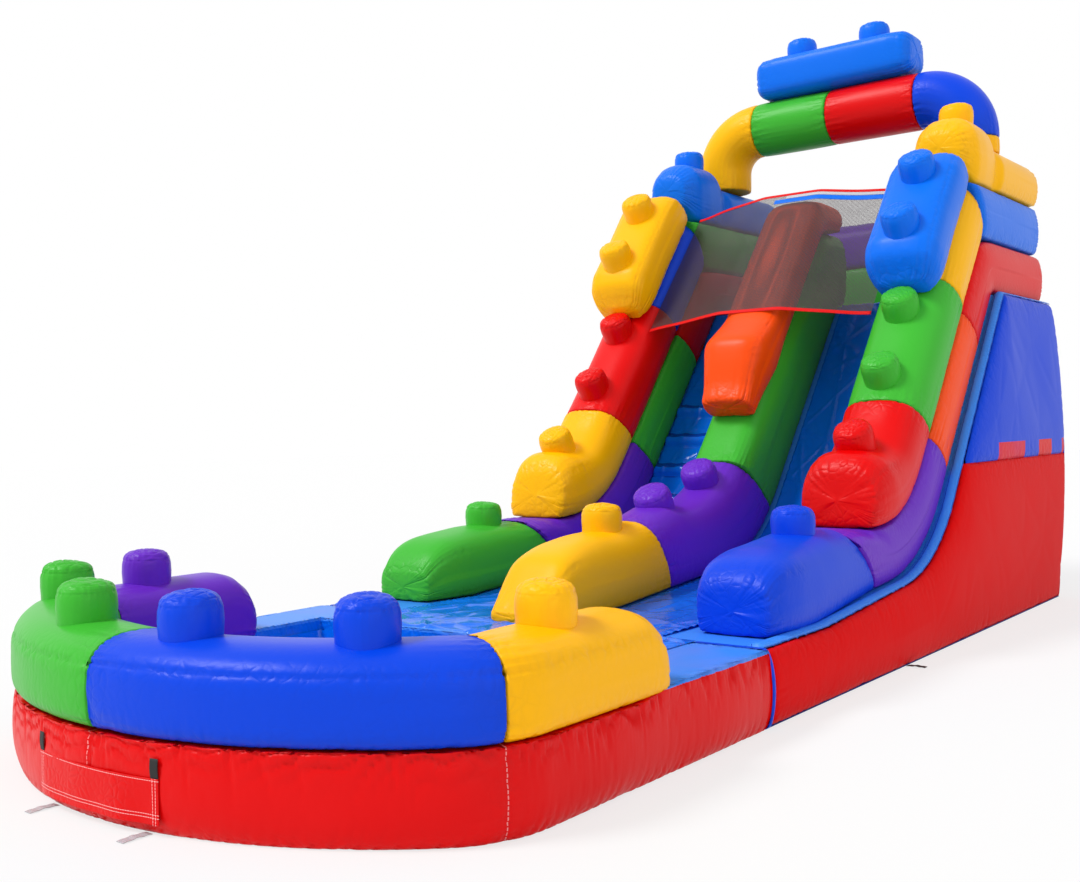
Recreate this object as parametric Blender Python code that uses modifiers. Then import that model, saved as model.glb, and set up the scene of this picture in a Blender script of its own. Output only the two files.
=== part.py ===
"""Inflatable two-lane water slide with a splash pool, in metres, at its real size.

+Z is up and the pool lies towards -Y. The origin is on the ground under the middle of the footprint.
Each coloured tube or block is one inflated chamber, and its studs are open to it, as on the real slide.
The body under the lanes is made of vinyl sheets: a ground sheet, a bed panel, side panels and a rear
panel, held in shape by two baffles inside. Places along the slide are measured from the pool's front
corners, where y is 0, and the whole model is then moved so that the footprint is centred.
"""
from math import asin, atan, copysign, cos, pi, radians, sin, sqrt, tan

import bmesh
import bpy
from mathutils import Matrix, Vector

# Fits
SEAM_GAP = 0.0003
SHEET = 0.004
EDGE_CLEARANCE = 0.002
STATION_SPACING = 0.03

# Plan of the whole slide
HALF_WIDTH = 1.795
POOL_LENGTH = 2.24
JOIN_WIDTH = 0.040
NOSE_RADIUS = 2.414
CORNER_RADIUS = 0.60
TOWER_REAR = 8.20
REAR_BULGE = 0.10
REAR_EDGE_BULGE = 0.11
REAR_FLAT_HEIGHT = 0.30

# Base and pool
BASE_HEIGHT = 0.445
BASE_TOP_INSET = 0.06
BASE_FOOT_INSET = 0.05
BASE_TUBE_WIDTH = 0.46
RING_INSET = 0.26
RING_HALF_WIDTH = 0.27
RING_HEIGHT = 0.36
RING_END_Y = 1.22
RING_END_TAPER = 0.18
LINER_RIM_DROP = 0.08
LINER_APRON_INSET = 0.495

# Bed of the lanes, seen from the side
RAMP_START_Y = 3.10
RAMP_DEG = 4.5
SLOPE_DEG = 51.0
TOE_RADIUS = 1.45
DECK_EDGE_Y = 6.79
DECK_TURN = 0.02
DECK_HEIGHT = 2.745
LEAN_START_Y = 2.75
LEAN_FULL_Y = 4.75

# Side walls
WALL_INSET = 0.465
WALL_HALF_WIDTH = 0.30
LAYER_HEIGHT = 0.455
TOP_BLOCK_HEIGHT = 0.40
TOP_RAIL_HEIGHT = 0.42
RIGHT_LOW_BLOCK_FRONT_Y = 2.52
LEFT_LOW_BLOCK_FRONT_Y = 2.60
LOW_BLOCK_INSET = 0.395
LOW_BLOCK_HALF_WIDTH = 0.31
RIGHT_LOW_BLOCK_HEIGHT = 0.52
LEFT_LOW_BLOCK_HEIGHT = 0.475
RIGHT_LOW_STUD_Y = 3.59
LEFT_LOW_STUD_Y = 3.775
LOW_SEAM_Y = 4.15
MIDDLE_BLOCK_START_Y = 4.73
FRONT_LEAN_DEG = 4.0
MIDDLE_SEAM_Y = 5.60
UPPER_SEAM_Y = 6.40
TOP_BLOCK_START = -0.72
TOP_BLOCK_END = 0.45
TOP_BLOCK_HALF_WIDTH = 0.29

# Head blocks of the top rails
HEAD_FRONT_Y = 6.42
HEAD_LENGTH = 0.64
HEAD_RISE = 0.17
HEAD_HALF_WIDTH = 0.29

# Studs
STUD_RADIUS = 0.14
STUD_HEIGHT = 0.16
POOL_STUD_HEIGHT = 0.20
STUD_SINK = 0.07
SLOPE_STUD_SINK = 0.15
STUD_LEAN_DEG = 20.0
STUD_CROWN = 0.045
RIGHT_POOL_STUD_Y = 0.52
LEFT_POOL_STUD_Y = 0.63

# Divider between the lanes
DIVIDER_HALF_WIDTH = 0.27
DIVIDER_FRONT_Y = 2.20
DIVIDER_HEIGHT = 0.54
DIVIDER_TALL = 0.68
DIVIDER_STUD_Y = 3.31
DIVIDER_LOW_SEAM_Y = 3.75
DIVIDER_SLOPE_SEAM_Y = 5.34
DIVIDER_REAR_Y = 7.10
CREST_START_Y = 5.64
CREST_END_Y = 6.98
CREST_HEIGHT = 0.30

# Platform and its back wall
BACK_WALL_Y = 7.89

# Arch over the platform
ARCH_Y = 7.40
ARCH_RADIUS = 0.26
ARCH_LEG_INSET = 0.545
ARCH_RISE = 0.57
ARCH_BEND = 0.40
ARCH_STUB = 0.03
ARCH_MIDDLE_X = -0.04
ARCH_BLOCK_HALF_LENGTH = 0.77
ARCH_BLOCK_HALF_DEPTH = 0.25
ARCH_BLOCK_HEIGHT = 0.40
ARCH_STUD_X = 0.371

# Lanes
LANE_EDGE_CLEARANCE = 0.01
LANE_DECK_LAP = 0.15
TREAD_HEIGHT = 0.06
TREAD_LENGTH = 0.12
TREAD_PITCH = 0.34
TREAD_COUNT = 6
FIRST_TREAD_Y = 4.92

# Net over the upper lanes
NET_START = -0.93
NET_END = 0.56
NET_EDGE_HEIGHT = 0.84
NET_LOW_CLEARANCE = 0.001
NET_HIGH_CLEARANCE = 0.010
NET_STRAND = 0.010
NET_CELLS_ACROSS = 16
NET_CELLS_ALONG = 10

# Flap with its two tabs on the nose of the pool
FLAP_HALF_WIDTH = 0.455
FLAP_BOTTOM_Z = 0.050
FLAP_TOP_Z = 0.250
FLAP_THICKNESS = 0.003
TAB_WIDTH = 0.045
TAB_HEIGHT = 0.085
HINGE_GAP = 0.0006

# Straps
STRAP_WIDTH = 0.05
STRAP_THICKNESS = 0.003
NOSE_STRAP_X = 0.36
NOSE_STRAP_LENGTH = 0.16
SIDE_ANCHOR_Y = 4.31
SIDE_ANCHOR_LENGTH = 0.13
HANGING_STRAP_Y = 7.36
HANGING_STRAP_LENGTH = 0.46
HANGING_STRAP_WIDTH = 0.04
HANGING_STRAP_TOP = 0.035
HANGING_STRAP_DROP = 0.13
PANEL_CLEARANCE = 0.0008

# Inflation sleeve behind the tower
SLEEVE_X = 1.00
SLEEVE_RADIUS = 0.11
SLEEVE_LENGTH = 0.45

# Body of the slide under the lanes
PANEL_SEAM_Z = 1.345
UPPER_PANEL_TIP = 0.04
BAFFLE_END_CLEARANCE = 0.06
VENT_RADIUS = 0.10
VENT_START_Y = 4.60
VENT_PITCH = 0.95
VENT_COUNT = 4

# Fineness of the solids
TUBE_POINTS = 14
ROUND_POINTS = 12
NOSE_STEPS = 10
CORNER_STEPS = 4
PANEL_ROWS = 6
TOE_STEPS = 10
ELBOW_STEPS = 6

# How square a section is: 2 is an ellipse
TUBE_SQUARENESS = 3.2
BRICK_SQUARENESS = 3.2
BLOCK_SQUARENESS = 4.4

# Shares of a tube's height that are sewn flat
FLAT_SHARE = 0.07

# Profiles along a piece: share of its length, share of its height, share of its width
SIDE_SHARES = (0, 0.06, 0.2, 0.45, 0.7, 0.9, 1)
RING_END_SHARES = ((0, 0.22, 0.78), (0.3, 0.66, 0.95), (0.65, 0.93, 1))
RIGHT_LOW_BLOCK_SHARES = ((0, 0.50, 0.70), (0.03, 0.66, 0.80), (0.09, 0.80, 0.92), (0.20, 0.91, 1.00),
                          (0.40, 0.985, 1.02), (0.66, 1, 1), (1, 0.95, 0.97))
LEFT_LOW_BLOCK_SHARES = ((0, 0.28, 0.70), (0.04, 0.42, 0.80), (0.10, 0.62, 0.90), (0.18, 0.80, 0.98),
                         (0.30, 0.93, 1.02), (0.50, 1, 1.02), (1, 0.95, 0.97))
DIVIDER_FRONT_SHARES = ((0, 0.16, 0.72), (0.05, 0.30, 0.82), (0.12, 0.54, 0.92), (0.18, 0.76, 0.98),
                        (0.31, 0.89, 1), (0.48, 0.96, 1), (1, 1, 1))
MIDDLE_BLOCK_SHARES = ((0, 0.84, 0.80), (0.05, 0.94, 0.88), (0.16, 1.04, 0.97), (0.34, 1.11, 1.04),
                       (0.54, 1.07, 1.03), (0.70, 0.95, 1), (0.86, 0.95, 1), (1, 1, 1))
TOP_BLOCK_SHARES = ((0, 0.45, 0.72), (0.06, 0.85, 0.95), (0.16, 1, 1), (0.5, 1, 0.97), (0.84, 1, 1),
                    (0.96, 0.92, 0.93), (1, 0.72, 0.80))
HEAD_SHARES = ((0, 0.28, 0.72, 0.72), (0.18, 0, 1, 0.96), (0.45, 0, 1, 1), (0.82, 0, 1, 0.97),
               (1, 0, 0.55, 0.86))
CREST_SHARES = ((0, 0.50, 0.80), (0.05, 0.80, 0.86), (0.13, 1.20, 0.98), (0.22, 1.46, 1.10), (0.31, 1.22, 1.04),
                (0.40, 1, 0.98), (0.94, 1, 0.98), (1, 0.80, 0.90))
ARCH_BLOCK_SHARES = ((-1, 0.75), (-0.93, 0.95), (-0.75, 1), (0.75, 1), (0.93, 0.95), (1, 0.75))
REAR_SHARES = (0, 0.45, 0.75, 0.9, 1)
POOL_SEAM_SHARE = 1.5
RIGHT_NOSE_STUD_SHARES = (2.21, 2.765)
LEFT_NOSE_STUD_SHARES = (2.03, 2.69)
MIDDLE_STUD_SHARE = 0.80
MIDDLE_STUD_RISE_SHARE = 0.965
UPRIGHT_SHARE = 0.6
TUBE_STUD_SHARES = (0.19, 0.71)
TOP_STUD_SHARES = (0.22, 0.74)
HEAD_STUD_SHARE = 0.60
DIVIDER_STUD_SHARES = (0.494, 0.843)

# Colours of the vinyl, as sRGB values out of 255
RED = (222, 8, 14)
GREEN = (70, 175, 65)
YELLOW = (255, 192, 8)
BLUE = (0, 72, 215)
BRIGHT_BLUE = (12, 118, 232)
PALE_BLUE = (110, 165, 240)
DARK_BLUE = (10, 50, 150)
PURPLE = (108, 48, 190)
ORANGE = (242, 88, 28)
BLACK = (14, 14, 16)
WHITE = (232, 232, 236)

NOSE_CENTRE_Y = sqrt(NOSE_RADIUS ** 2 - HALF_WIDTH ** 2)
NOSE_Y = NOSE_CENTRE_Y - NOSE_RADIUS
SLEEVE_START_Y = TOWER_REAR + SEAM_GAP
SLIDE_FRONT_Y = POOL_LENGTH + JOIN_WIDTH
SLOPE = radians(SLOPE_DEG)
RAMP = radians(RAMP_DEG)
MITRE = SLOPE / 2
FRONT_LEAN = radians(FRONT_LEAN_DEG)
STUD_WAY = Vector((0, -sin(radians(STUD_LEAN_DEG)), cos(radians(STUD_LEAN_DEG))))
LANE_TOP = SEAM_GAP + SHEET
WALL_FOOT = SEAM_GAP
GROUND_SHEET_TOP = SHEET + SEAM_GAP
RAIL_TOP = DECK_HEIGHT + 2 * LAYER_HEIGHT + TOP_RAIL_HEIGHT
WALL_X = HALF_WIDTH - WALL_INSET
LOW_BLOCK_X = HALF_WIDTH - LOW_BLOCK_INSET
LANE_EDGE_X = WALL_X - WALL_HALF_WIDTH - LANE_EDGE_CLEARANCE
LINER_APRON_HALF_WIDTH = HALF_WIDTH - LINER_APRON_INSET
NET_LOW_X = WALL_X - WALL_HALF_WIDTH - NET_LOW_CLEARANCE
NET_HIGH_X = WALL_X - TOP_BLOCK_HALF_WIDTH - NET_HIGH_CLEARANCE
ARCH_LEG_X = HALF_WIDTH - ARCH_LEG_INSET
ARCH_AXIS_Z = RAIL_TOP + ARCH_RISE
SIDES = (("right", 1), ("left", -1))


def clear_scene():
    """Removes every object, mesh, curve and material that the file holds."""
    for item in list(bpy.data.objects):
        bpy.data.objects.remove(item)
    for store in (bpy.data.meshes, bpy.data.curves, bpy.data.materials):
        for item in list(store):
            store.remove(item)


def make_collection(name):
    """A collection in the scene."""
    collection = bpy.data.collections.new(name)
    bpy.context.scene.collection.children.link(collection)
    return collection


def linear(value):
    """One sRGB value out of 255 as a linear share."""
    share = value / 255
    if share <= 0.04045:
        return share / 12.92
    return ((share + 0.055) / 1.055) ** 2.4


def finish(item, colour, roughness=0.35):
    """Gives the object a material of its own."""
    material = bpy.data.materials.new(item.name + "_finish")
    material.use_nodes = True
    shader = material.node_tree.nodes["Principled BSDF"]
    shader.inputs["Base Color"].default_value = (*[linear(value) for value in colour], 1)
    shader.inputs["Roughness"].default_value = roughness
    shader.inputs["Metallic"].default_value = 0
    item.data.materials.append(material)


def add_piece(name, data, colour, roughness=0.35):
    """An object in the slide's collection, moved so that the footprint is centred."""
    item = bpy.data.objects.new(name, data)
    SLIDE.objects.link(item)
    item.location = (0, -CENTRE_Y, 0)
    finish(item, colour, roughness)
    if item.type == "MESH":
        data.shade_smooth()
        data.set_sharp_from_angle(angle=radians(50))
    return item


def mesh_from_rings(rings, around=False):
    """A closed mesh through rings of points. It has two end caps, or runs round to its first ring."""
    work = bmesh.new()
    rows = [[work.verts.new(point) for point in ring] for ring in rings]
    pairs = list(zip(rows, rows[1:]))
    if around:
        pairs.append((rows[-1], rows[0]))
    for low, high in pairs:
        for index, corner in enumerate(low):
            after = (index + 1) % len(low)
            work.faces.new((corner, low[after], high[after], high[index]))
    if not around:
        work.faces.new(rows[0])
        work.faces.new(rows[-1])
    bmesh.ops.recalc_face_normals(work, faces=work.faces)
    mesh = bpy.data.meshes.new("rings")
    work.to_mesh(mesh)
    work.free()
    return mesh


def section(half_width, low, high, squareness=TUBE_SQUARENESS):
    """A tube's section as (across, up) pairs, flattened below and above where it is sewn down."""
    reach = (high - low) * FLAT_SHARE
    bottom = low - reach
    top = high + reach
    middle = (bottom + top) / 2
    half = (top - bottom) / 2
    points = []
    for index in range(TUBE_POINTS):
        angle = 2 * pi * (index + 0.5) / TUBE_POINTS
        across = half_width * copysign(abs(cos(angle)) ** (2 / squareness), cos(angle))
        up = middle + half * copysign(abs(sin(angle)) ** (2 / squareness), sin(angle))
        points.append((across, min(max(up, low), high)))
    return points


def ramp_height(y):
    """Height of the bed's straight ramp, before the slope."""
    return BASE_HEIGHT + max(y - RAMP_START_Y, 0) * tan(RAMP)


def toe_bend():
    """Where the bend between the ramp and the slope starts and ends, as y values, and its centre."""
    corner = (
        DECK_HEIGHT - BASE_HEIGHT + RAMP_START_Y * tan(RAMP) - DECK_EDGE_Y * tan(SLOPE)
    ) / (tan(RAMP) - tan(SLOPE))
    reach = TOE_RADIUS * tan((SLOPE - RAMP) / 2)
    start = corner - reach * cos(RAMP)
    end = corner + reach * cos(SLOPE)
    centre_y = start - TOE_RADIUS * sin(RAMP)
    centre_z = ramp_height(start) + TOE_RADIUS * cos(RAMP)
    return start, end, centre_y, centre_z


TOE_START_Y, TOE_END_Y, TOE_CENTRE_Y, TOE_CENTRE_Z = toe_bend()


def curve_height(y):
    """Height of the bed's true curve at y."""
    if y <= TOE_START_Y:
        return ramp_height(y)
    if y <= TOE_END_Y:
        return TOE_CENTRE_Z - sqrt(TOE_RADIUS ** 2 - (y - TOE_CENTRE_Y) ** 2)
    if y <= DECK_EDGE_Y:
        return DECK_HEIGHT - (DECK_EDGE_Y - y) * tan(SLOPE)
    return DECK_HEIGHT


def bed_places():
    """The places along the bed where every sheet and tube has a section: the bend's steps and all seams."""
    places = [SLIDE_FRONT_Y, RAMP_START_Y, TOE_END_Y, DECK_EDGE_Y, DECK_EDGE_Y + DECK_TURN, TOWER_REAR]
    places += [LOW_SEAM_Y, MIDDLE_SEAM_Y, UPPER_SEAM_Y]
    places += [DIVIDER_LOW_SEAM_Y, DIVIDER_SLOPE_SEAM_Y]
    reach = TOE_END_Y - LEAN_START_Y
    places += [LEAN_START_Y + reach * index / TOE_STEPS for index in range(TOE_STEPS)]
    return sorted(set(places))


BED_PLACES = bed_places()


def bed_height(y):
    """Height of the bed panel's top at y: the curve, made of straight pieces between its places."""
    for low, high in zip(BED_PLACES, BED_PLACES[1:]):
        if y <= high:
            share = (y - low) / (high - low)
            return curve_height(low) * (1 - share) + curve_height(high) * share
    return DECK_HEIGHT


def straight_before(y):
    """Slope of the bed's straight piece that ends at y or runs through it, in radians."""
    for low, high in zip(BED_PLACES, BED_PLACES[1:]):
        if y <= high:
            return atan((curve_height(high) - curve_height(low)) / (high - low))
    return 0


def wall_lean(y):
    """How far the seams of the walls lean towards the pool at y, in radians."""
    if y == DECK_EDGE_Y:
        return MITRE
    if y > DECK_EDGE_Y:
        return 0
    share = (y - LEAN_START_Y) / (LEAN_FULL_Y - LEAN_START_Y)
    share = min(max(share, 0), 1)
    return SLOPE * share * share * (3 - 2 * share)


def place_frame(y):
    """Foot of a section at one of the bed's places, and its rise for each metre square to the bed."""
    lean = wall_lean(y)
    rise = Vector((0, -sin(lean), cos(lean))) / cos(lean - straight_before(y))
    return Vector((0, y, bed_height(y))), rise


def bed_frame(y):
    """Foot and rise of a section anywhere on the bed, by straight lines between its places."""
    for low, high in zip(BED_PLACES, BED_PLACES[1:]):
        if y <= high:
            share = (y - low) / (high - low)
            return [one * (1 - share) + two * share for one, two in zip(place_frame(low), place_frame(high))]
    return place_frame(BED_PLACES[-1])


def slope_frame(distance):
    """Foot and rise of a section on the slope, with distance measured up from the deck's edge."""
    foot = Vector((0, DECK_EDGE_Y + distance * cos(SLOPE), DECK_HEIGHT + distance * sin(SLOPE)))
    return foot, Vector((0, -sin(SLOPE), cos(SLOPE)))


def bed_ring(frame, x, points):
    """A section's points placed on a frame at x."""
    foot, rise = frame
    return [foot + Vector((x + across, 0, 0)) + rise * height for across, height in points]


def path_stations(start, end):
    """Places along the bed from start to end."""
    kept = [y for y in BED_PLACES if start + EDGE_CLEARANCE < y < end - EDGE_CLEARANCE]
    return [start, *kept, end]


def profile(share, table):
    """The values of a table at a share of its length, by straight lines between its rows."""
    for low, high in zip(table, table[1:]):
        if share <= high[0]:
            part = (share - low[0]) / (high[0] - low[0])
            return [one + (two - one) * part for one, two in zip(low[1:], high[1:])]
    return list(table[-1][1:])


def seam_pair(y, ends_here):
    """y on this side of a seam: the piece that ends there stops one seam gap short of it."""
    return y - SEAM_GAP / 2 if ends_here else y + SEAM_GAP / 2


def tube_on_bed(name, colour, side, start, end, low, high, half_width=WALL_HALF_WIDTH, x=WALL_X,
                squareness=TUBE_SQUARENESS, studs=(), shapes=None, rise=0, upright=0):
    """A tube or block that follows the bed, between two heights above it.

    Over the share upright of its length, the front turns from a steep face to the lean of the seams.
    """
    first = seam_pair(start, False)
    last = seam_pair(end, True)
    places = path_stations(first, last)
    if shapes:
        extra = [first + (last - first) * row[0] for row in shapes[1:-1]]
        extra = [y for y in extra if all(abs(y - other) > STATION_SPACING for other in places)]
        places = sorted(places + extra)
    rings = []
    for y in places:
        share = (y - first) / (last - first)
        height_share, width_share = profile(share, shapes) if shapes else (1, 1)
        top = low + (high + rise * share - low) * height_share
        points = section(half_width * width_share, low, top, squareness)
        foot, lean = bed_frame(y)
        stand = lean
        if share < upright:
            steep = Vector((0, -sin(FRONT_LEAN), cos(FRONT_LEAN)))
            stand = steep + (lean - steep) * share / upright
        seat = (foot + lean * low, stand)
        rings.append(bed_ring(seat, side * x, [(across, height - low) for across, height in points]))
    piece = add_piece(name, mesh_from_rings(rings), colour)
    for y, height in studs:
        foot, up = bed_frame(y)
        add_stud(piece, foot + Vector((side * x, 0, 0)) + up * height, STUD_WAY, sink=SLOPE_STUD_SINK)
    return piece


def add_stud(piece, foot, up, height=STUD_HEIGHT, sink=STUD_SINK):
    """Joins a domed stud to a piece. Its foot is sunk into the piece, and the two become one chamber."""
    work = bmesh.new()
    depth = sink + height
    bmesh.ops.create_cone(work, cap_ends=True, segments=ROUND_POINTS, radius1=STUD_RADIUS,
                          radius2=STUD_RADIUS, depth=depth)
    rim = [edge for edge in work.edges if all(corner.co.z > 0 for corner in edge.verts)]
    bmesh.ops.bevel(work, geom=rim, offset=STUD_CROWN, segments=2, profile=0.5, affect="EDGES")
    mesh = bpy.data.meshes.new("stud")
    work.to_mesh(mesh)
    work.free()
    tool = bpy.data.objects.new(piece.name + "_stud", mesh)
    TOOLS.objects.link(tool)
    tool.hide_render = True
    tool.display_type = "WIRE"
    middle = foot + up * (depth / 2 - sink) - Vector((0, CENTRE_Y, 0))
    turn = Vector((0, 0, 1)).rotation_difference(up).to_matrix().to_4x4()
    tool.matrix_world = Matrix.Translation(middle) @ turn
    join = piece.modifiers.new("stud", "BOOLEAN")
    join.operation = "UNION"
    join.solver = "EXACT"
    join.object = tool


def foot_inset(z):
    """How far the base's outside lies inside its outline just above the ground."""
    share = z / (SIDE_SHARES[1] * BASE_HEIGHT)
    return side_inset(0) * (1 - share) + side_inset(SIDE_SHARES[1]) * share


def nose_turn():
    """Angle of the corner's arc, where it meets the nose."""
    corner_x = HALF_WIDTH - CORNER_RADIUS
    corner_y = NOSE_CENTRE_Y - sqrt((NOSE_RADIUS - CORNER_RADIUS) ** 2 - corner_x ** 2)
    return asin((NOSE_CENTRE_Y - corner_y) / (NOSE_RADIUS - CORNER_RADIUS))


def outline_point(inset, share):
    """A point of the pool's half outline, right side first, as share runs from the rear (0) to the nose (1)."""
    corner_x = HALF_WIDTH - CORNER_RADIUS
    corner_y = NOSE_CENTRE_Y - sqrt((NOSE_RADIUS - CORNER_RADIUS) ** 2 - corner_x ** 2)
    turn = nose_turn()
    if share <= 1:
        return Vector((HALF_WIDTH - inset, corner_y + (POOL_LENGTH - corner_y) * (1 - share), 0))
    if share <= 2:
        angle = -turn * (share - 1)
        radius = CORNER_RADIUS - inset
        return Vector((corner_x + radius * cos(angle), corner_y + radius * sin(angle), 0))
    angle = -turn - (pi / 2 - turn) * (share - 2)
    radius = NOSE_RADIUS - inset
    return Vector((radius * cos(angle), NOSE_CENTRE_Y + radius * sin(angle), 0))


def half_outline_shares():
    """Shares of the half outline, from the rear end to the nose."""
    side = [0, 0.3, 0.6]
    corner = [1 + index / CORNER_STEPS for index in range(CORNER_STEPS)]
    nose = [2 + index / NOSE_STEPS for index in range(NOSE_STEPS + 1)]
    return side + corner + nose


def pool_outline(inset, shares):
    """The whole outline at one inset, from the right rear end round the nose to the left rear end."""
    right = [outline_point(inset, share) for share in shares]
    left = [Vector((-point.x, point.y, 0)) for point in reversed(right) if point.x > EDGE_CLEARANCE]
    return right + left


def side_inset(share, top_inset=BASE_TOP_INSET):
    """How far the bulging side lies inside the outline, at a share of its height."""
    bulge = sqrt(max(sin(pi * min(max(share, 0), 1)), 0))
    return (1 - bulge) * (BASE_FOOT_INSET + (top_inset - BASE_FOOT_INSET) * share)


def pool_base():
    """The red tube round the pool: the sides, the nose and the cross tube where the lanes begin."""
    shares = half_outline_shares()
    outside = [(side_inset(share), share * BASE_HEIGHT) for share in SIDE_SHARES]
    inside = [(BASE_TUBE_WIDTH - side_inset(share), share * BASE_HEIGHT) for share in reversed(SIDE_SHARES)]
    rings = []
    for inset, z in outside + inside:
        ring = [point + Vector((0, 0, z)) for point in pool_outline(inset, shares)]
        ring[0].y = ring[-1].y = POOL_LENGTH - inset
        rings.append(ring)
    add_piece("pool_base", mesh_from_rings(rings, around=True), RED)


def ring_section(height_share, width_share):
    """Section of the pool's upper tube, from its seam on the base upwards."""
    low = BASE_HEIGHT + SEAM_GAP
    return section(RING_HALF_WIDTH * width_share, low, low + RING_HEIGHT * height_share)


def ring_frame(share, side):
    """A place on the upper tube's centre line, with the direction that points out of the pool."""
    centre = outline_point(RING_INSET, share)
    out = outline_point(0, share) - centre
    out.normalize()
    return Vector((side * centre.x, centre.y, 0)), Vector((side * out.x, out.y, 0))


def ring_rings(shares, side, ends=()):
    """Rings of the upper tube at the shares, after any tapered end rings."""
    rings = list(ends)
    for share in shares:
        centre, out = ring_frame(share, side)
        rings.append([centre + out * across + Vector((0, 0, up)) for across, up in ring_section(1, 1)])
    return rings


def ring_end(side):
    """The rounded rear end of the upper tube, where it drops to the base."""
    rings = []
    for along, height_share, width_share in RING_END_SHARES:
        centre = Vector((side * (HALF_WIDTH - RING_INSET), RING_END_Y - RING_END_TAPER * along, 0))
        points = ring_section(height_share, width_share)
        rings.append([centre + Vector((side * across, 0, up)) for across, up in points])
    return rings


def share_of_side(y):
    """Share of the half outline at y on the straight side."""
    corner_y = outline_point(0, 1).y
    return 1 - (y - corner_y) / (POOL_LENGTH - corner_y)


def pool_ring():
    """The coloured tube on the base: one side piece and one nose piece on each side of the middle."""
    seam = POOL_SEAM_SHARE
    taper_end = share_of_side(RING_END_Y - RING_END_TAPER)
    gap_share = SEAM_GAP / (CORNER_RADIUS - RING_INSET)
    side_shares = [taper_end, (taper_end + 1) / 2, 1, (1 + seam) / 2, seam - gap_share]
    nose_shares = [seam + gap_share, (seam + 2) / 2]
    nose_shares += [2 + index / NOSE_STEPS for index in range(NOSE_STEPS)]
    nose_shares.append(3 - SEAM_GAP / NOSE_RADIUS)
    colours = {1: (YELLOW, BLUE, "yellow", "blue"), -1: (PURPLE, GREEN, "purple", "green")}
    stud_places = {1: RIGHT_POOL_STUD_Y, -1: LEFT_POOL_STUD_Y}
    nose_studs = {1: RIGHT_NOSE_STUD_SHARES, -1: LEFT_NOSE_STUD_SHARES}
    for _, side in SIDES:
        side_colour, nose_colour, side_name, nose_name = colours[side]
        rings = ring_rings(side_shares, side, ring_end(side))
        piece = add_piece("pool_ring_" + side_name, mesh_from_rings(rings), side_colour)
        stud_on_ring(piece, share_of_side(stud_places[side]), side)
        piece = add_piece("pool_ring_" + nose_name, mesh_from_rings(ring_rings(nose_shares, side)), nose_colour)
        for share in nose_studs[side]:
            stud_on_ring(piece, share, side)


def stud_on_ring(piece, share, side):
    """A stud that stands upright on the upper tube."""
    centre, _ = ring_frame(share, side)
    top = Vector((0, 0, BASE_HEIGHT + SEAM_GAP + RING_HEIGHT))
    add_stud(piece, centre + top, Vector((0, 0, 1)), POOL_STUD_HEIGHT)


def pool_liner():
    """The vinyl liner: a basin inside the base tube."""
    shares = half_outline_shares()
    wall = BASE_TUBE_WIDTH + SEAM_GAP
    floor = wall + BASE_FOOT_INSET
    levels = ((wall, BASE_HEIGHT - LINER_RIM_DROP), (wall, BASE_HEIGHT / 3), (floor, SEAM_GAP))
    outer = []
    inner = []
    for inset, z in levels:
        for extra, rings in ((0, outer), (SHEET, inner)):
            ring = [point + Vector((0, 0, z)) for point in pool_outline(inset + extra, shares)]
            ring[0].y = ring[-1].y = POOL_LENGTH - inset - extra
            rings.append(ring)
    for point in inner[-1]:
        point.z += SHEET
    add_piece("pool_liner", mesh_from_rings(list(reversed(inner)) + outer), BRIGHT_BLUE, 0.15)


def box(name, colour, low, high, roughness=0.35):
    """A box between two corners."""
    work = bmesh.new()
    bmesh.ops.create_cube(work, size=1)
    low = Vector(low)
    high = Vector(high)
    for corner in work.verts:
        corner.co = (low + high) / 2 + Vector([part * size for part, size in zip(corner.co, high - low)])
    mesh = bpy.data.meshes.new(name)
    work.to_mesh(mesh)
    work.free()
    return add_piece(name, mesh, colour, roughness)


def liner_apron():
    """The sheet that carries the liner over the cross tube to the lanes."""
    half = LINER_APRON_HALF_WIDTH
    low = BASE_HEIGHT + SEAM_GAP
    box("liner_apron", BRIGHT_BLUE, (-half, POOL_LENGTH - BASE_TUBE_WIDTH, low),
        (half, SLIDE_FRONT_Y, low + SHEET), 0.15)


def side_foot_x(share, top_inset=BASE_TOP_INSET):
    """Distance of the bulging side from the middle, at a share of its height."""
    return HALF_WIDTH - side_inset(share, top_inset)


def join_band():
    """The blue band that laps the joint between pool and slide: up one side, under, and up the other."""
    end = LINER_APRON_HALF_WIDTH + EDGE_CLEARANCE
    outer = [(end, BASE_HEIGHT)]
    outer += [(side_foot_x(share), share * BASE_HEIGHT) for share in reversed(SIDE_SHARES)]
    inner = [(end, BASE_HEIGHT - SHEET)]
    inner += [(side_foot_x(share) - SHEET, SHEET + share * (BASE_HEIGHT - 2 * SHEET))
              for share in reversed(SIDE_SHARES)]
    outline = outer + [(-x, z) for x, z in reversed(outer)]
    outline += [(-x, z) for x, z in inner] + [(x, z) for x, z in reversed(inner)]
    rings = []
    for y in (POOL_LENGTH + SEAM_GAP, SLIDE_FRONT_Y - SEAM_GAP):
        rings.append([Vector((x, y, z)) for x, z in outline])
    add_piece("join_band", mesh_from_rings(rings), BLUE)


def panel_top_inset(y):
    """Inset of the side panel's top edge, which grows towards the rear."""
    share = (y - SLIDE_FRONT_Y) / (TOWER_REAR - SLIDE_FRONT_Y)
    return BASE_TOP_INSET * (1 + share)


def rear_y(z, across):
    """The rear's place at a height: flat near the ground, then swelling out, most of all in the middle."""
    share = min(max((z - REAR_FLAT_HEIGHT) / (DECK_HEIGHT - REAR_FLAT_HEIGHT), 0), 1)
    swell = sin(pi * share ** 0.75)
    return TOWER_REAR + (REAR_EDGE_BULGE + REAR_BULGE * (1 - across ** 4)) * swell


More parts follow.
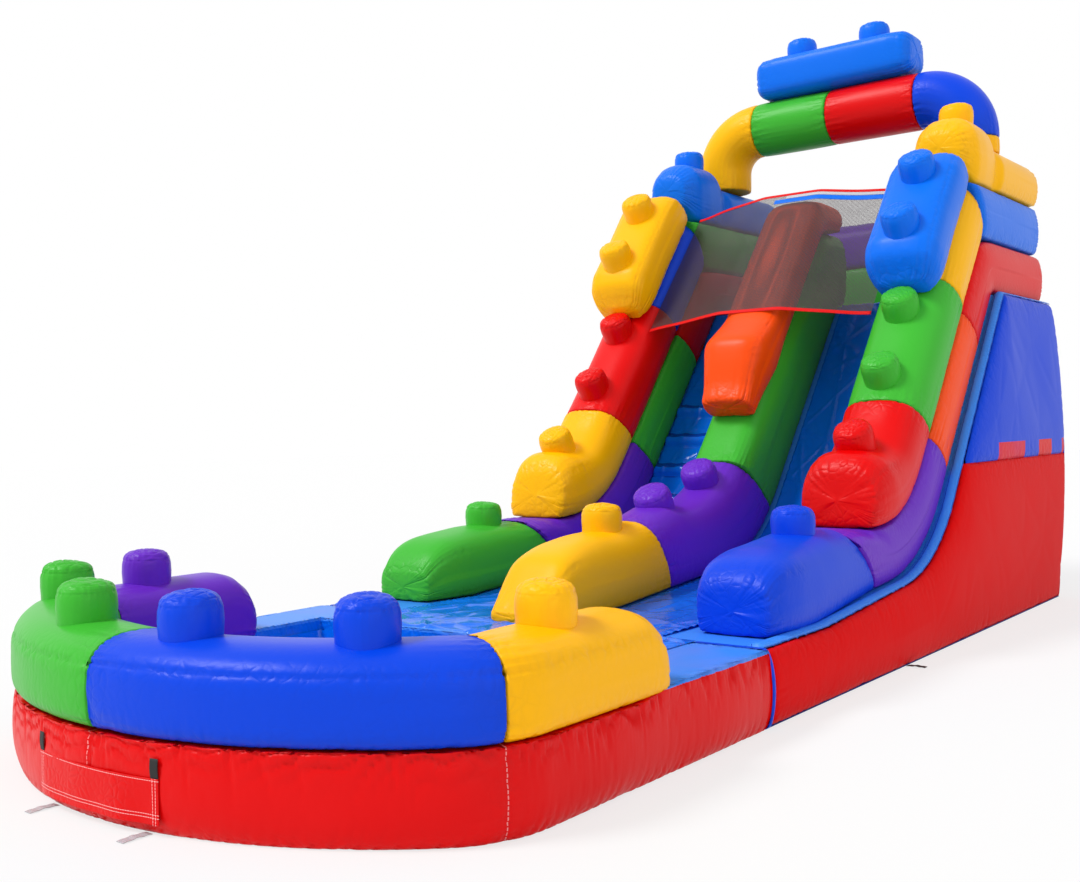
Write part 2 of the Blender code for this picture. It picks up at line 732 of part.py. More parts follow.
def bed_normal(y):
    """Direction square to the bed at y, which halves the corners of the path."""
    before = straight_before(y)
    after = straight_before(y + SEAM_GAP)
    angle = (before + after) / 2
    return Vector((0, -sin(angle), cos(angle))) / cos((after - before) / 2)


def bed_point(y, height, x):
    """A point at a height above the bed, square to it."""
    return Vector((x, y, bed_height(y))) + bed_normal(y) * height


def bed_panel():
    """The top of the body under lanes and walls, with the riser at its front and the platform's floor."""
    front = SLIDE_FRONT_Y
    half = HALF_WIDTH - panel_top_inset(front) - SHEET - SEAM_GAP
    sides = ((-half, 0), (half, 0), (half, SHEET), (-half, SHEET))
    rings = [[Vector((x, front + back, GROUND_SHEET_TOP)) for x, back in sides]]
    rings.append([Vector((x, front + back, BASE_HEIGHT - back)) for x, back in sides])
    for y in BED_PLACES[1:]:
        half = HALF_WIDTH - panel_top_inset(y) - SHEET - SEAM_GAP
        rings.append([bed_point(y, height, x) for x, height in (
            (-half, 0), (half, 0), (half, -SHEET), (-half, -SHEET))])
    add_piece("bed_panel", mesh_from_rings(rings), PALE_BLUE)


def lane_strip(name, colour, side, heights):
    """A sheet on one lane, with the height of its top outside the divider given for each place."""
    inner = side * SEAM_GAP
    step = side * (DIVIDER_HALF_WIDTH + EDGE_CLEARANCE)
    foot = side * (DIVIDER_HALF_WIDTH + SEAM_GAP)
    outer = side * LANE_EDGE_X
    rings = []
    for y, height in heights:
        corners = ((inner, SEAM_GAP), (outer, SEAM_GAP), (outer, height), (step, height),
                   (foot, LANE_TOP), (inner, LANE_TOP))
        rings.append([bed_point(y, rise, x) for x, rise in corners])
    add_piece(name, mesh_from_rings(rings), colour, 0.15)


def lanes():
    """The glossy sheet of the right lane, and the left lane's sheet with its treads."""
    start = SLIDE_FRONT_Y + SEAM_GAP
    end = DECK_EDGE_Y + LANE_DECK_LAP
    lane_strip("slide_lane_sheet", BRIGHT_BLUE, 1, [(y, LANE_TOP) for y in path_stations(start, end)])
    lip = SHEET
    rows = [(start, LANE_TOP)]
    for index in range(TREAD_COUNT):
        low = FIRST_TREAD_Y + index * TREAD_PITCH * cos(SLOPE)
        high = low + TREAD_LENGTH * cos(SLOPE)
        rows += [(low - lip, LANE_TOP), (low, TREAD_HEIGHT), (high, TREAD_HEIGHT), (high + lip, LANE_TOP)]
    rows.append((end, LANE_TOP))
    places = sorted(set(path_stations(start, end) + [y for y, _ in rows]))
    places = [y for y, after in zip(places, places[1:]) if after - y > SEAM_GAP] + [end]
    lane_strip("climbing_lane_sheet", BLUE, -1, [(y, *profile(y, rows)) for y in places])


def panel_from_grid(name, rows, colour, inward):
    """A sheet from a grid of outer points, with its thickness given inwards."""
    rings = []
    for row in rows:
        back = [point + inward(point) * SHEET for point in reversed(row)]
        rings.append(row + back)
    return add_piece(name, mesh_from_rings(rings), colour)


def side_levels(low, high):
    """Heights of a side panel's rows."""
    return [low + (high - low) * index / PANEL_ROWS for index in range(PANEL_ROWS + 1)]


def side_point(side, y, z):
    """A point on the outside of the slide's flank. The last places lean out with the rear."""
    x = side_foot_x(z / bed_height(y), panel_top_inset(y))
    if y >= TOWER_REAR:
        y = rear_y(z, 1)
    return Vector((side * x, y, z))


def side_panels():
    """The red lower panels and the blue upper panels on both sides of the slide."""
    foot = GROUND_SHEET_TOP
    seam = PANEL_SEAM_Z
    tip_y = DECK_EDGE_Y - (DECK_HEIGHT - seam - UPPER_PANEL_TIP) / tan(SLOPE)
    places = sorted(set(BED_PLACES + [tip_y]))
    for name, side in SIDES:
        def inward(point, side=side):
            return Vector((-side, 0, 0))
        rows = [[side_point(side, y, z) for z in side_levels(foot, min(bed_height(y), seam))] for y in places]
        panel_from_grid(name + "_lower_panel", rows, RED, inward)
        upper = [y for y in places if y >= tip_y]
        rows = [[side_point(side, y, z) for z in side_levels(seam + SEAM_GAP, bed_height(y))] for y in upper]
        panel_from_grid(name + "_upper_panel", rows, BLUE, inward)


def tower_side_x(z):
    """Distance of the flank's outside from the middle at the tower's rear, on its straight facets."""
    levels = side_levels(GROUND_SHEET_TOP, PANEL_SEAM_Z) + side_levels(PANEL_SEAM_Z + SEAM_GAP, DECK_HEIGHT)
    for low, high in zip(levels, levels[1:]):
        if z <= high:
            share = (z - low) / (high - low)
            low_x = side_point(1, TOWER_REAR, low).x
            high_x = side_point(1, TOWER_REAR, high).x
            return low_x * (1 - share) + high_x * share
    return side_point(1, TOWER_REAR, DECK_HEIGHT).x


def rear_panel():
    """The rear of the tower, which swells out between the two sides."""
    top = DECK_HEIGHT - SHEET - SEAM_GAP
    levels = side_levels(GROUND_SHEET_TOP, PANEL_SEAM_Z) + side_levels(PANEL_SEAM_Z + SEAM_GAP, top)[1:]
    across_shares = [-share for share in reversed(REAR_SHARES[1:])] + list(REAR_SHARES)
    rows = []
    for z in levels:
        half = tower_side_x(z) - SHEET - SEAM_GAP
        rows.append([Vector((half * across, rear_y(z, across), z)) for across in across_shares])
    panel_from_grid("rear_panel", rows, BLUE, lambda point: Vector((0, -1, 0)))


def ground_sheet():
    """The sheet under the slide, which shows as a thin blue edge."""
    half = HALF_WIDTH - BASE_FOOT_INSET
    box("slide_ground_sheet", DARK_BLUE, (-half, SLIDE_FRONT_Y, 0), (half, TOWER_REAR, SHEET))


def baffle():
    """The sheet inside the body that ties the bed to the ground sheet, with round vents for the air."""
    drop = SHEET + SEAM_GAP
    start = SLIDE_FRONT_Y + BAFFLE_END_CLEARANCE
    end = TOWER_REAR - BAFFLE_END_CLEARANCE
    outline = [(start, GROUND_SHEET_TOP), (end, GROUND_SHEET_TOP), (end, DECK_HEIGHT - drop)]
    inner = [bed_point(y, -drop, 0) for y in BED_PLACES[1:-1]]
    outline += [(point.y, point.z) for point in reversed(inner)]
    outline.append((start, BASE_HEIGHT - drop))
    curve = bpy.data.curves.new("body_baffle", "CURVE")
    curve.dimensions = "2D"
    curve.fill_mode = "BOTH"
    curve.extrude = SHEET / 2
    loops = [outline]
    for index in range(VENT_COUNT):
        y = VENT_START_Y + VENT_PITCH * index
        z = bed_height(y) / 2
        angles = [2 * pi * step / ROUND_POINTS for step in range(ROUND_POINTS)]
        loops.append([(y + VENT_RADIUS * cos(angle), z + VENT_RADIUS * sin(angle)) for angle in angles])
    for loop in loops:
        spline = curve.splines.new("POLY")
        spline.points.add(len(loop) - 1)
        for point, (y, z) in zip(spline.points, loop):
            point.co = (y, z, 0, 1)
        spline.use_cyclic_u = True
    piece = add_piece("body_baffle", curve, PALE_BLUE)
    piece.rotation_euler = (pi / 2, 0, pi / 2)


def low_blocks():
    """The block at the front of each side wall: a rounded wedge with one stud."""
    colours = {1: BLUE, -1: GREEN}
    fronts = {1: RIGHT_LOW_BLOCK_FRONT_Y, -1: LEFT_LOW_BLOCK_FRONT_Y}
    stud_places = {1: RIGHT_LOW_STUD_Y, -1: LEFT_LOW_STUD_Y}
    heights = {1: RIGHT_LOW_BLOCK_HEIGHT, -1: LEFT_LOW_BLOCK_HEIGHT}
    tables = {1: RIGHT_LOW_BLOCK_SHARES, -1: LEFT_LOW_BLOCK_SHARES}
    last = seam_pair(LOW_SEAM_Y, True)
    for name, side in SIDES:
        first = fronts[side]
        table = tables[side]
        places = [first + (last - first) * row[0] for row in table[:-1]]
        places += [y for y in path_stations(first, last)[1:]
                   if all(abs(y - other) > STATION_SPACING for other in places)]
        rings = []
        for y in sorted(places):
            share = (y - first) / (last - first)
            height_share, width_share = profile(share, table)
            centre = LOW_BLOCK_X + (WALL_X - LOW_BLOCK_X) * share
            points = section(LOW_BLOCK_HALF_WIDTH * width_share, WALL_FOOT, heights[side] * height_share,
                             BRICK_SQUARENESS)
            rings.append(bed_ring(bed_frame(y), side * centre, points))
        piece = add_piece(name + "_low_block", mesh_from_rings(rings), colours[side])
        foot, up = bed_frame(stud_places[side])
        foot += Vector((side * (WALL_X + LOW_BLOCK_X) / 2, 0, 0)) + up * heights[side]
        add_stud(piece, foot, Vector((0, 0, 1)))


def side_walls():
    """Both side walls: a lower tube, an upper tube with blocks and studs, and the rails of the platform."""
    one = LAYER_HEIGHT
    two = 2 * LAYER_HEIGHT
    lower = {1: (PURPLE, ORANGE, RED), -1: (PURPLE, GREEN, RED)}
    words = {1: ("purple", "orange", "red"), -1: ("purple", "green", "red")}
    upper = {1: (RED, GREEN, YELLOW, BLUE), -1: (YELLOW, RED, BLUE, GREEN)}
    tops = {1: (BRIGHT_BLUE, YELLOW), -1: (YELLOW, BRIGHT_BLUE)}
    spans = ((LOW_SEAM_Y, MIDDLE_SEAM_Y), (MIDDLE_SEAM_Y, UPPER_SEAM_Y), (UPPER_SEAM_Y, TOWER_REAR))
    for name, side in SIDES:
        for (start, end), colour, word in zip(spans, lower[side], words[side]):
            tube_on_bed(name + "_lower_tube_" + word, colour, side, start, end, WALL_FOOT, one)
        low = one + SEAM_GAP
        block_colour, tube_colour, strip_colour, rail_colour = upper[side]
        stud_y = LOW_SEAM_Y + (MIDDLE_SEAM_Y - LOW_SEAM_Y) * MIDDLE_STUD_SHARE
        tube_on_bed(name + "_middle_block", block_colour, side, MIDDLE_BLOCK_START_Y, MIDDLE_SEAM_Y, low, two,
                    squareness=BRICK_SQUARENESS, studs=((stud_y, two * MIDDLE_STUD_RISE_SHARE),),
                    shapes=MIDDLE_BLOCK_SHARES, upright=UPRIGHT_SHARE)
        places = [MIDDLE_SEAM_Y + (UPPER_SEAM_Y - MIDDLE_SEAM_Y) * share for share in TUBE_STUD_SHARES]
        tube_on_bed(name + "_upper_tube", tube_colour, side, MIDDLE_SEAM_Y, UPPER_SEAM_Y, low, two,
                    squareness=BRICK_SQUARENESS, studs=[(y, two) for y in places])
        tube_on_bed(name + "_upper_strip", strip_colour, side, UPPER_SEAM_Y, DECK_EDGE_Y, low, two,
                    squareness=BRICK_SQUARENESS)
        tube_on_bed(name + "_middle_rail", rail_colour, side, DECK_EDGE_Y, TOWER_REAR, low, two)
        top_block(name + "_top_block", tops[side][0], side, two + SEAM_GAP)
        top_rail(name + "_top_rail", tops[side][1], side, two + SEAM_GAP)


def top_block(name, colour, side, low):
    """The block with two studs on the upper part of a wall."""
    length = TOP_BLOCK_END - TOP_BLOCK_START
    rings = []
    for share, height_share, width_share in TOP_BLOCK_SHARES:
        points = section(TOP_BLOCK_HALF_WIDTH * width_share, low, low + TOP_BLOCK_HEIGHT * height_share,
                         BLOCK_SQUARENESS)
        rings.append(bed_ring(slope_frame(TOP_BLOCK_START + length * share), side * WALL_X, points))
    piece = add_piece(name, mesh_from_rings(rings), colour)
    for share in TOP_STUD_SHARES:
        foot, up = slope_frame(TOP_BLOCK_START + length * share)
        foot += Vector((side * WALL_X, 0, 0)) + up * (low + TOP_BLOCK_HEIGHT)
        add_stud(piece, foot, STUD_WAY, sink=SLOPE_STUD_SINK)


def top_rail(name, colour, side, low):
    """The top rail with the head block and its stud at the front."""
    low = DECK_HEIGHT + low
    high = RAIL_TOP
    rings = []
    for share, drop, rise, width_share in HEAD_SHARES:
        bottom = low + (high - low) * drop
        top = high + HEAD_RISE * (2 * rise - 1)
        points = section(HEAD_HALF_WIDTH * width_share, bottom, top, BRICK_SQUARENESS)
        y = HEAD_FRONT_Y + HEAD_LENGTH * share
        rings.append([Vector((side * WALL_X + across, y, up)) for across, up in points])
    for y in (HEAD_FRONT_Y + HEAD_LENGTH + EDGE_CLEARANCE, TOWER_REAR):
        points = section(WALL_HALF_WIDTH, low, high)
        rings.append([Vector((side * WALL_X + across, y, up)) for across, up in points])
    piece = add_piece(name, mesh_from_rings(rings), colour)
    foot = Vector((side * WALL_X, HEAD_FRONT_Y + HEAD_LENGTH * HEAD_STUD_SHARE, high + HEAD_RISE))
    add_stud(piece, foot, Vector((0, 0, 1)))


def divider():
    """The wall between the lanes, and the orange crest on its upper part."""
    foot = LANE_TOP + SEAM_GAP
    first = DIVIDER_FRONT_Y
    last = seam_pair(DIVIDER_LOW_SEAM_Y, True)
    places = [first + (last - first) * row[0] for row in DIVIDER_FRONT_SHARES[:-1]]
    places += [y for y in path_stations(first, last)[1:]
               if all(abs(y - other) > STATION_SPACING for other in places)]
    rings = []
    for y in sorted(places):
        height_share, width_share = profile((y - first) / (last - first), DIVIDER_FRONT_SHARES)
        points = section(DIVIDER_HALF_WIDTH * width_share, foot, DIVIDER_HEIGHT * height_share,
                         BRICK_SQUARENESS)
        rings.append(bed_ring(bed_frame(y), 0, points))
    piece = add_piece("divider_low_block", mesh_from_rings(rings), YELLOW)
    stud_foot, up = bed_frame(DIVIDER_STUD_Y)
    add_stud(piece, stud_foot + up * DIVIDER_HEIGHT, Vector((0, 0, 1)))

    rise = DIVIDER_TALL - DIVIDER_HEIGHT
    span = DIVIDER_SLOPE_SEAM_Y - DIVIDER_LOW_SEAM_Y
    studs = [(DIVIDER_LOW_SEAM_Y + span * share, DIVIDER_HEIGHT + rise * share)
             for share in DIVIDER_STUD_SHARES]
    tube_on_bed("divider_bend", PURPLE, 1, DIVIDER_LOW_SEAM_Y, DIVIDER_SLOPE_SEAM_Y, foot, DIVIDER_HEIGHT,
                DIVIDER_HALF_WIDTH, 0, BRICK_SQUARENESS, studs, rise=rise)
    tube_on_bed("divider_tube", GREEN, 1, DIVIDER_SLOPE_SEAM_Y, DIVIDER_REAR_Y, foot, DIVIDER_TALL,
                DIVIDER_HALF_WIDTH, 0, BLOCK_SQUARENESS)
    low = DIVIDER_TALL + SEAM_GAP
    tube_on_bed("divider_crest", ORANGE, 1, CREST_START_Y, CREST_END_Y, low, low + CREST_HEIGHT,
                DIVIDER_HALF_WIDTH, 0, BLOCK_SQUARENESS, shapes=CREST_SHARES)


def back_wall():
    """Two tubes across the rear of the platform."""
    half = WALL_X - WALL_HALF_WIDTH - EDGE_CLEARANCE
    for name, colour, layer in (("back_wall_lower", GREEN, 0), ("back_wall_upper", PURPLE, 1)):
        low = DECK_HEIGHT + WALL_FOOT + (LAYER_HEIGHT + SEAM_GAP) * layer
        points = section(WALL_HALF_WIDTH, low, low + LAYER_HEIGHT - SEAM_GAP)
        rings = [[Vector((x, BACK_WALL_Y + across, up)) for across, up in points] for x in (-half, half)]
        add_piece(name, mesh_from_rings(rings), colour)


def arch_tube(name, colour, points):
    """One piece of the arch, along points in its own plane."""
    curve = bpy.data.curves.new(name, "CURVE")
    curve.dimensions = "3D"
    curve.bevel_depth = ARCH_RADIUS
    curve.bevel_resolution = 4
    curve.use_fill_caps = True
    spline = curve.splines.new("POLY")
    spline.points.add(len(points) - 1)
    for point, (x, z) in zip(spline.points, points):
        point.co = (x, ARCH_Y, z, 1)
    return add_piece(name, curve, colour)


def elbow(side):
    """Points of the bend between a leg and the top, from the leg upwards."""
    points = []
    steps = ELBOW_STEPS
    for index in range(steps + 1):
        angle = pi / 2 * index / steps
        x = ARCH_LEG_X - ARCH_BEND + ARCH_BEND * cos(angle)
        points.append((side * x, ARCH_AXIS_Z - ARCH_BEND + ARCH_BEND * sin(angle)))
    return points


def arch():
    """The arch: a yellow left leg and elbow, green and red top pieces, a blue elbow and a yellow foot."""
    foot = RAIL_TOP + SEAM_GAP
    top_x = ARCH_LEG_X - ARCH_BEND - ARCH_STUB
    bend_z = ARCH_AXIS_Z - ARCH_BEND
    left = [(-ARCH_LEG_X, foot)] + elbow(-1) + [(-top_x, ARCH_AXIS_Z)]
    arch_tube("arch_left_elbow", YELLOW, left)
    green = [(-top_x + SEAM_GAP, ARCH_AXIS_Z), (ARCH_MIDDLE_X - SEAM_GAP, ARCH_AXIS_Z)]
    arch_tube("arch_top_left", GREEN, green)
    arch_tube("arch_top_right", RED, [(ARCH_MIDDLE_X, ARCH_AXIS_Z), (top_x - SEAM_GAP, ARCH_AXIS_Z)])
    right = [(ARCH_LEG_X, bend_z - ARCH_STUB)] + elbow(1) + [(top_x, ARCH_AXIS_Z)]
    arch_tube("arch_right_elbow", BLUE, right)
    arch_tube("arch_right_foot", YELLOW, [(ARCH_LEG_X, foot), (ARCH_LEG_X, bend_z - ARCH_STUB - SEAM_GAP)])
    low = ARCH_AXIS_Z + ARCH_RADIUS + SEAM_GAP
    rings = []
    for share, size in ARCH_BLOCK_SHARES:
        half = ARCH_BLOCK_HEIGHT * size / 2
        middle = low + ARCH_BLOCK_HEIGHT / 2
        points = section(ARCH_BLOCK_HALF_DEPTH * size, middle - half, middle + half, BLOCK_SQUARENESS)
        rings.append([Vector((share * ARCH_BLOCK_HALF_LENGTH, ARCH_Y + across, up)) for across, up in points])
    piece = add_piece("arch_block", mesh_from_rings(rings), BRIGHT_BLUE)
    for side in (1, -1):
        foot_point = Vector((side * ARCH_STUD_X, ARCH_Y, low + ARCH_BLOCK_HEIGHT))
        add_stud(piece, foot_point, Vector((0, 0, 1)))


def net():
    """The net over the upper lanes, draped over the crest, as crossing strands."""
    strand = NET_STRAND / 2
    ridge = DIVIDER_TALL + SEAM_GAP + CREST_HEIGHT + SEAM_GAP + strand
    work = bmesh.new()
    grid = []
    for row in range(NET_CELLS_ALONG + 1):
        share = row / NET_CELLS_ALONG
        foot, up = slope_frame(NET_START + (NET_END - NET_START) * share)
        edge_x = NET_LOW_X + (NET_HIGH_X - NET_LOW_X) * share - strand
        half = NET_CELLS_ACROSS // 2
        line = []
        for column in range(-half, half + 1):
            if abs(column) <= 2:
                x = DIVIDER_HALF_WIDTH * column / 2
                rise = ridge
            else:
                reach = (abs(column) - 2) / (half - 2)
                x = copysign(DIVIDER_HALF_WIDTH + (edge_x - DIVIDER_HALF_WIDTH) * reach, column)
                rise = ridge + (NET_EDGE_HEIGHT - ridge) * reach
            line.append(work.verts.new(foot + Vector((x, 0, 0)) + up * rise))
        grid.append(line)
    for low, high in zip(grid, grid[1:]):
        for index in range(len(low) - 1):
            work.faces.new((low[index], low[index + 1], high[index + 1], high[index]))
    mesh = bpy.data.meshes.new("safety_net")
    work.to_mesh(mesh)
    work.free()
    piece = add_piece("safety_net", mesh, BLACK, 0.6)
    wire = piece.modifiers.new("strands", "WIREFRAME")
    wire.thickness = NET_STRAND
    wire.use_boundary = True
    wire.use_even_offset = True


def set_origin(item, place):
    """Moves the object's origin to a place on its joint axis and leaves its surface where it is."""
    item.data.transform(Matrix.Translation(-place))
    item.location = item.location + place


def nose_surface(radius, angle, z):
    """A point on a cylinder about the nose's centre, with the angle measured from straight ahead."""
    return Vector((radius * sin(angle), NOSE_CENTRE_Y - radius * cos(angle), z))


def nose_patch(name, colour, low_angle, high_angle, low_z, high_z, radius):
    """A thin curved sheet on the nose."""
    turn = (pi / 2 - nose_turn()) / NOSE_STEPS
    inner = [turn * step for step in range(-NOSE_STEPS, NOSE_STEPS + 1)]
    angles = [low_angle, *[angle for angle in inner if low_angle < angle < high_angle], high_angle]
    rings = []
    for angle in angles:
        far = radius + FLAP_THICKNESS
        rings.append([nose_surface(size, angle, z) for size, z in (
            (radius, low_z), (far, low_z), (far, high_z), (radius, high_z))])
    return add_piece(name, mesh_from_rings(rings), colour)


def front_flap():
    """The flap on the nose, which hangs from two tabs and can be lifted."""
    half = asin(FLAP_HALF_WIDTH / NOSE_RADIUS)
    radius = NOSE_RADIUS + SEAM_GAP
    flap = nose_patch("front_flap", RED, -half, half, FLAP_BOTTOM_Z, FLAP_TOP_Z, radius)
    set_origin(flap, Vector((0, NOSE_Y - SEAM_GAP - FLAP_THICKNESS, FLAP_TOP_Z)))
    width = TAB_WIDTH / NOSE_RADIUS
    low = FLAP_TOP_Z + HINGE_GAP
    nose_patch("flap_tab_right", BLACK, half - width, half, low, low + TAB_HEIGHT, radius)
    nose_patch("flap_tab_left", BLACK, -half, width - half, low, low + TAB_HEIGHT, radius)


def nose_strap_rear():
    """Place of the nose straps' sewn ends, against the foot of the base."""
    radius = NOSE_RADIUS - foot_inset(SEAM_GAP + STRAP_THICKNESS) + SEAM_GAP
    near = NOSE_STRAP_X - STRAP_WIDTH / 2
    return NOSE_CENTRE_Y - sqrt(radius ** 2 - near ** 2)


def anchor_near_x():
    """Distance of the side anchors' sewn ends from the middle, just outside the flank's lower edge."""
    edges = [side_foot_x(GROUND_SHEET_TOP / bed_height(y), panel_top_inset(y))
             for y in (SIDE_ANCHOR_Y, SIDE_ANCHOR_Y + STRAP_WIDTH)]
    return max(edges) + 2 * SEAM_GAP


def straps():
    """The straps on the ground, and the strap that hangs from the deck's corner."""
    low = SEAM_GAP
    high = SEAM_GAP + STRAP_THICKNESS
    rear = nose_strap_rear()
    for name, side in SIDES:
        x = side * NOSE_STRAP_X
        strap = box("nose_strap_" + name, WHITE, (x - STRAP_WIDTH / 2, rear - NOSE_STRAP_LENGTH, low),
                    (x + STRAP_WIDTH / 2, rear, high))
        set_origin(strap, Vector((x, rear, high)))
    high = GROUND_SHEET_TOP - SEAM_GAP
    low = high - STRAP_THICKNESS
    near = anchor_near_x()
    for name, side in SIDES:
        ends = sorted((side * near, side * (near + SIDE_ANCHOR_LENGTH)))
        strap = box("side_anchor_" + name, BLACK, (ends[0], SIDE_ANCHOR_Y, low),
                    (ends[1], SIDE_ANCHOR_Y + STRAP_WIDTH, high))
        set_origin(strap, Vector((side * near, SIDE_ANCHOR_Y + STRAP_WIDTH / 2, high)))
    rings = []
    for share in (0, 1):
        y = HANGING_STRAP_Y + HANGING_STRAP_LENGTH * share
        top = DECK_HEIGHT - HANGING_STRAP_TOP - HANGING_STRAP_DROP * share
        inner = [Vector((upper_band_x(y, z) + PANEL_CLEARANCE, y, z)) for z in (top - HANGING_STRAP_WIDTH, top)]
        outer = [point + Vector((STRAP_THICKNESS, 0, 0)) for point in reversed(inner)]
        rings.append(inner + outer)
    strap = add_piece("hanging_strap", mesh_from_rings(rings), BLUE)
    set_origin(strap, rings[0][2])


def upper_band_x(y, z):
    """Distance from the middle of the flank's highest band of facets, beside the deck."""
    low_z, high_z = side_levels(PANEL_SEAM_Z + SEAM_GAP, DECK_HEIGHT)[-2:]
    share = (z - low_z) / (high_z - low_z)
    inset = panel_top_inset(y)
    low_x = side_foot_x(low_z / DECK_HEIGHT, inset)
    return low_x * (1 - share) + side_foot_x(1, inset) * share


def sleeve():
    """The open sleeve behind the tower that the blower's tube goes into."""
    rings = []
    for radius, y in ((SLEEVE_RADIUS, SLEEVE_START_Y), (SLEEVE_RADIUS, SLEEVE_START_Y + SLEEVE_LENGTH),
                      (SLEEVE_RADIUS - SHEET, SLEEVE_START_Y + SLEEVE_LENGTH),
                      (SLEEVE_RADIUS - SHEET, SLEEVE_START_Y + SHEET)):
        angles = [2 * pi * (step + 0.5) / ROUND_POINTS for step in range(ROUND_POINTS)]
        rings.append([Vector((SLEEVE_X + radius * cos(angle), y, SLEEVE_RADIUS + radius * sin(angle)))
                      for angle in angles])
    add_piece("inflation_sleeve", mesh_from_rings(rings), BLUE)


def build():
    """Makes every piece."""
    pool_base()
    pool_ring()
    pool_liner()
    liner_apron()
    join_band()
    ground_sheet()
    baffle()
    bed_panel()
    lanes()
    side_panels()
    rear_panel()
    low_blocks()
    side_walls()
    divider()
    back_wall()
    arch()
    net()
    front_flap()
    straps()
    sleeve()


CENTRE_Y = (nose_strap_rear() - NOSE_STRAP_LENGTH + SLEEVE_START_Y + SLEEVE_LENGTH) / 2
clear_scene()
SLIDE = make_collection("water_slide")
TOOLS = make_collection("stud_tools")
build()
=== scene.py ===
# %% [markdown]
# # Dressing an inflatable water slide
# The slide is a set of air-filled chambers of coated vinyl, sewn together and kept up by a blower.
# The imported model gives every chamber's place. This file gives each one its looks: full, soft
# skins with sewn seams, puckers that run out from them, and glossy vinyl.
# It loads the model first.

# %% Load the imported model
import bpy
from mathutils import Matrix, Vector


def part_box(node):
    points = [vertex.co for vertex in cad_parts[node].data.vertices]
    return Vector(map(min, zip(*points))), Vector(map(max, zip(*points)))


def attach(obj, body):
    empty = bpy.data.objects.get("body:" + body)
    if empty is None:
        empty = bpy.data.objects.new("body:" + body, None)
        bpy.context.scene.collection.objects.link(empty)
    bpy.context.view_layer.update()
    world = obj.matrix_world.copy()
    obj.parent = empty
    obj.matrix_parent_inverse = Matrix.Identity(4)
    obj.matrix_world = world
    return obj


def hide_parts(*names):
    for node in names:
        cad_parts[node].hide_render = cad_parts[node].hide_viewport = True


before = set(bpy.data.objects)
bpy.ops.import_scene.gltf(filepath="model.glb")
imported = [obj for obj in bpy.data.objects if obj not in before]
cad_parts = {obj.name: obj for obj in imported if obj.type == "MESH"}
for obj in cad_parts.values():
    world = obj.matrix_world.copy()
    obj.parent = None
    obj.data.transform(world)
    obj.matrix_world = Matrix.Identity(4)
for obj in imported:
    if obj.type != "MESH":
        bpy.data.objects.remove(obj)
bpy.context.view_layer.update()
from math import cos, pi, radians, sin, sqrt, tan
import bpy
import numpy as np

# %% [markdown]
# ## One measure for the whole slide
# Lengths are in metres. Along the slide, y is measured from the line where the pool's nose
# begins, and every skin is moved by MIDDLE_Y at the end, so that the footprint is centred as in
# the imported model.

# %% Main measures
MIDDLE_Y = 3.880655
HALF_WIDTH = 1.795
BASE = 0.445
DECK = 2.745
FRONT = 2.28
POOL_END = 2.24
DECK_EDGE = 6.79
REAR = 8.20
RAMP_START = 3.10
RAMP = radians(4.5)
SLOPE = radians(51.0)
TOE_RADIUS = 1.45
WALL_X = 1.33
WALL_HALF = 0.31
LAYER = 0.455
GAP = 0.0003
SHEET_TOP = 0.0043
STUD_HIGH = 0.16
STUD_RADIUS = 0.14
STUD_RIM = 0.745
DIVIDER_HALF = 0.27
LANE_TOP = SHEET_TOP
LANE_IN = 0.268
LANE_OUT = 1.05
STUD_WAY = (0.0, -sin(radians(31.0)), cos(radians(31.0)))
FINE = 1.0
print("full detail")

# %% [markdown]
# ## The line of the bed
# Seen from the side, the lanes run level, climb gently, bend up and go straight to the deck.
# The bend is an arc that touches both straight parts, so no kink shows in the tubes that follow.

# %% Height and slope of the bed
CORNER_Y = ((DECK - BASE + RAMP_START * tan(RAMP) - DECK_EDGE * tan(SLOPE))
            / (tan(RAMP) - tan(SLOPE)))
TOE_REACH = TOE_RADIUS * tan((SLOPE - RAMP) / 2)
TOE_START = CORNER_Y - TOE_REACH * cos(RAMP)
TOE_END = CORNER_Y + TOE_REACH * cos(SLOPE)
TOE_Y = TOE_START - TOE_RADIUS * sin(RAMP)
TOE_Z = BASE + (TOE_START - RAMP_START) * tan(RAMP) + TOE_RADIUS * cos(RAMP)
LEAN_START, LEAN_END = 2.75, 6.4


def bed_height(y):
    """Height of the bed: level, ramp, arc (centre height less the root of radius squared less
    offset squared), straight slope, then the level deck."""
    ramp = BASE + np.maximum(y - RAMP_START, 0) * tan(RAMP)
    off = np.clip(y, TOE_START, TOE_END) - TOE_Y
    arc = TOE_Z - np.sqrt(TOE_RADIUS ** 2 - off ** 2)
    slope = DECK - (DECK_EDGE - y) * tan(SLOPE)
    return np.select([y <= TOE_START, y <= TOE_END, y <= DECK_EDGE], [ramp, arc, slope], DECK)


def bed_angle(y):
    """Angle of the bed: the ramp's, the arc sine of offset over radius in the bend, the slope's, or
    zero on the deck."""
    ramp = np.where(y > RAMP_START, RAMP, 0)
    arc = np.arcsin((np.clip(y, TOE_START, TOE_END) - TOE_Y) / TOE_RADIUS)
    return np.select([y <= TOE_START, y <= TOE_END, y <= DECK_EDGE], [ramp, arc, SLOPE + 0 * y], 0)


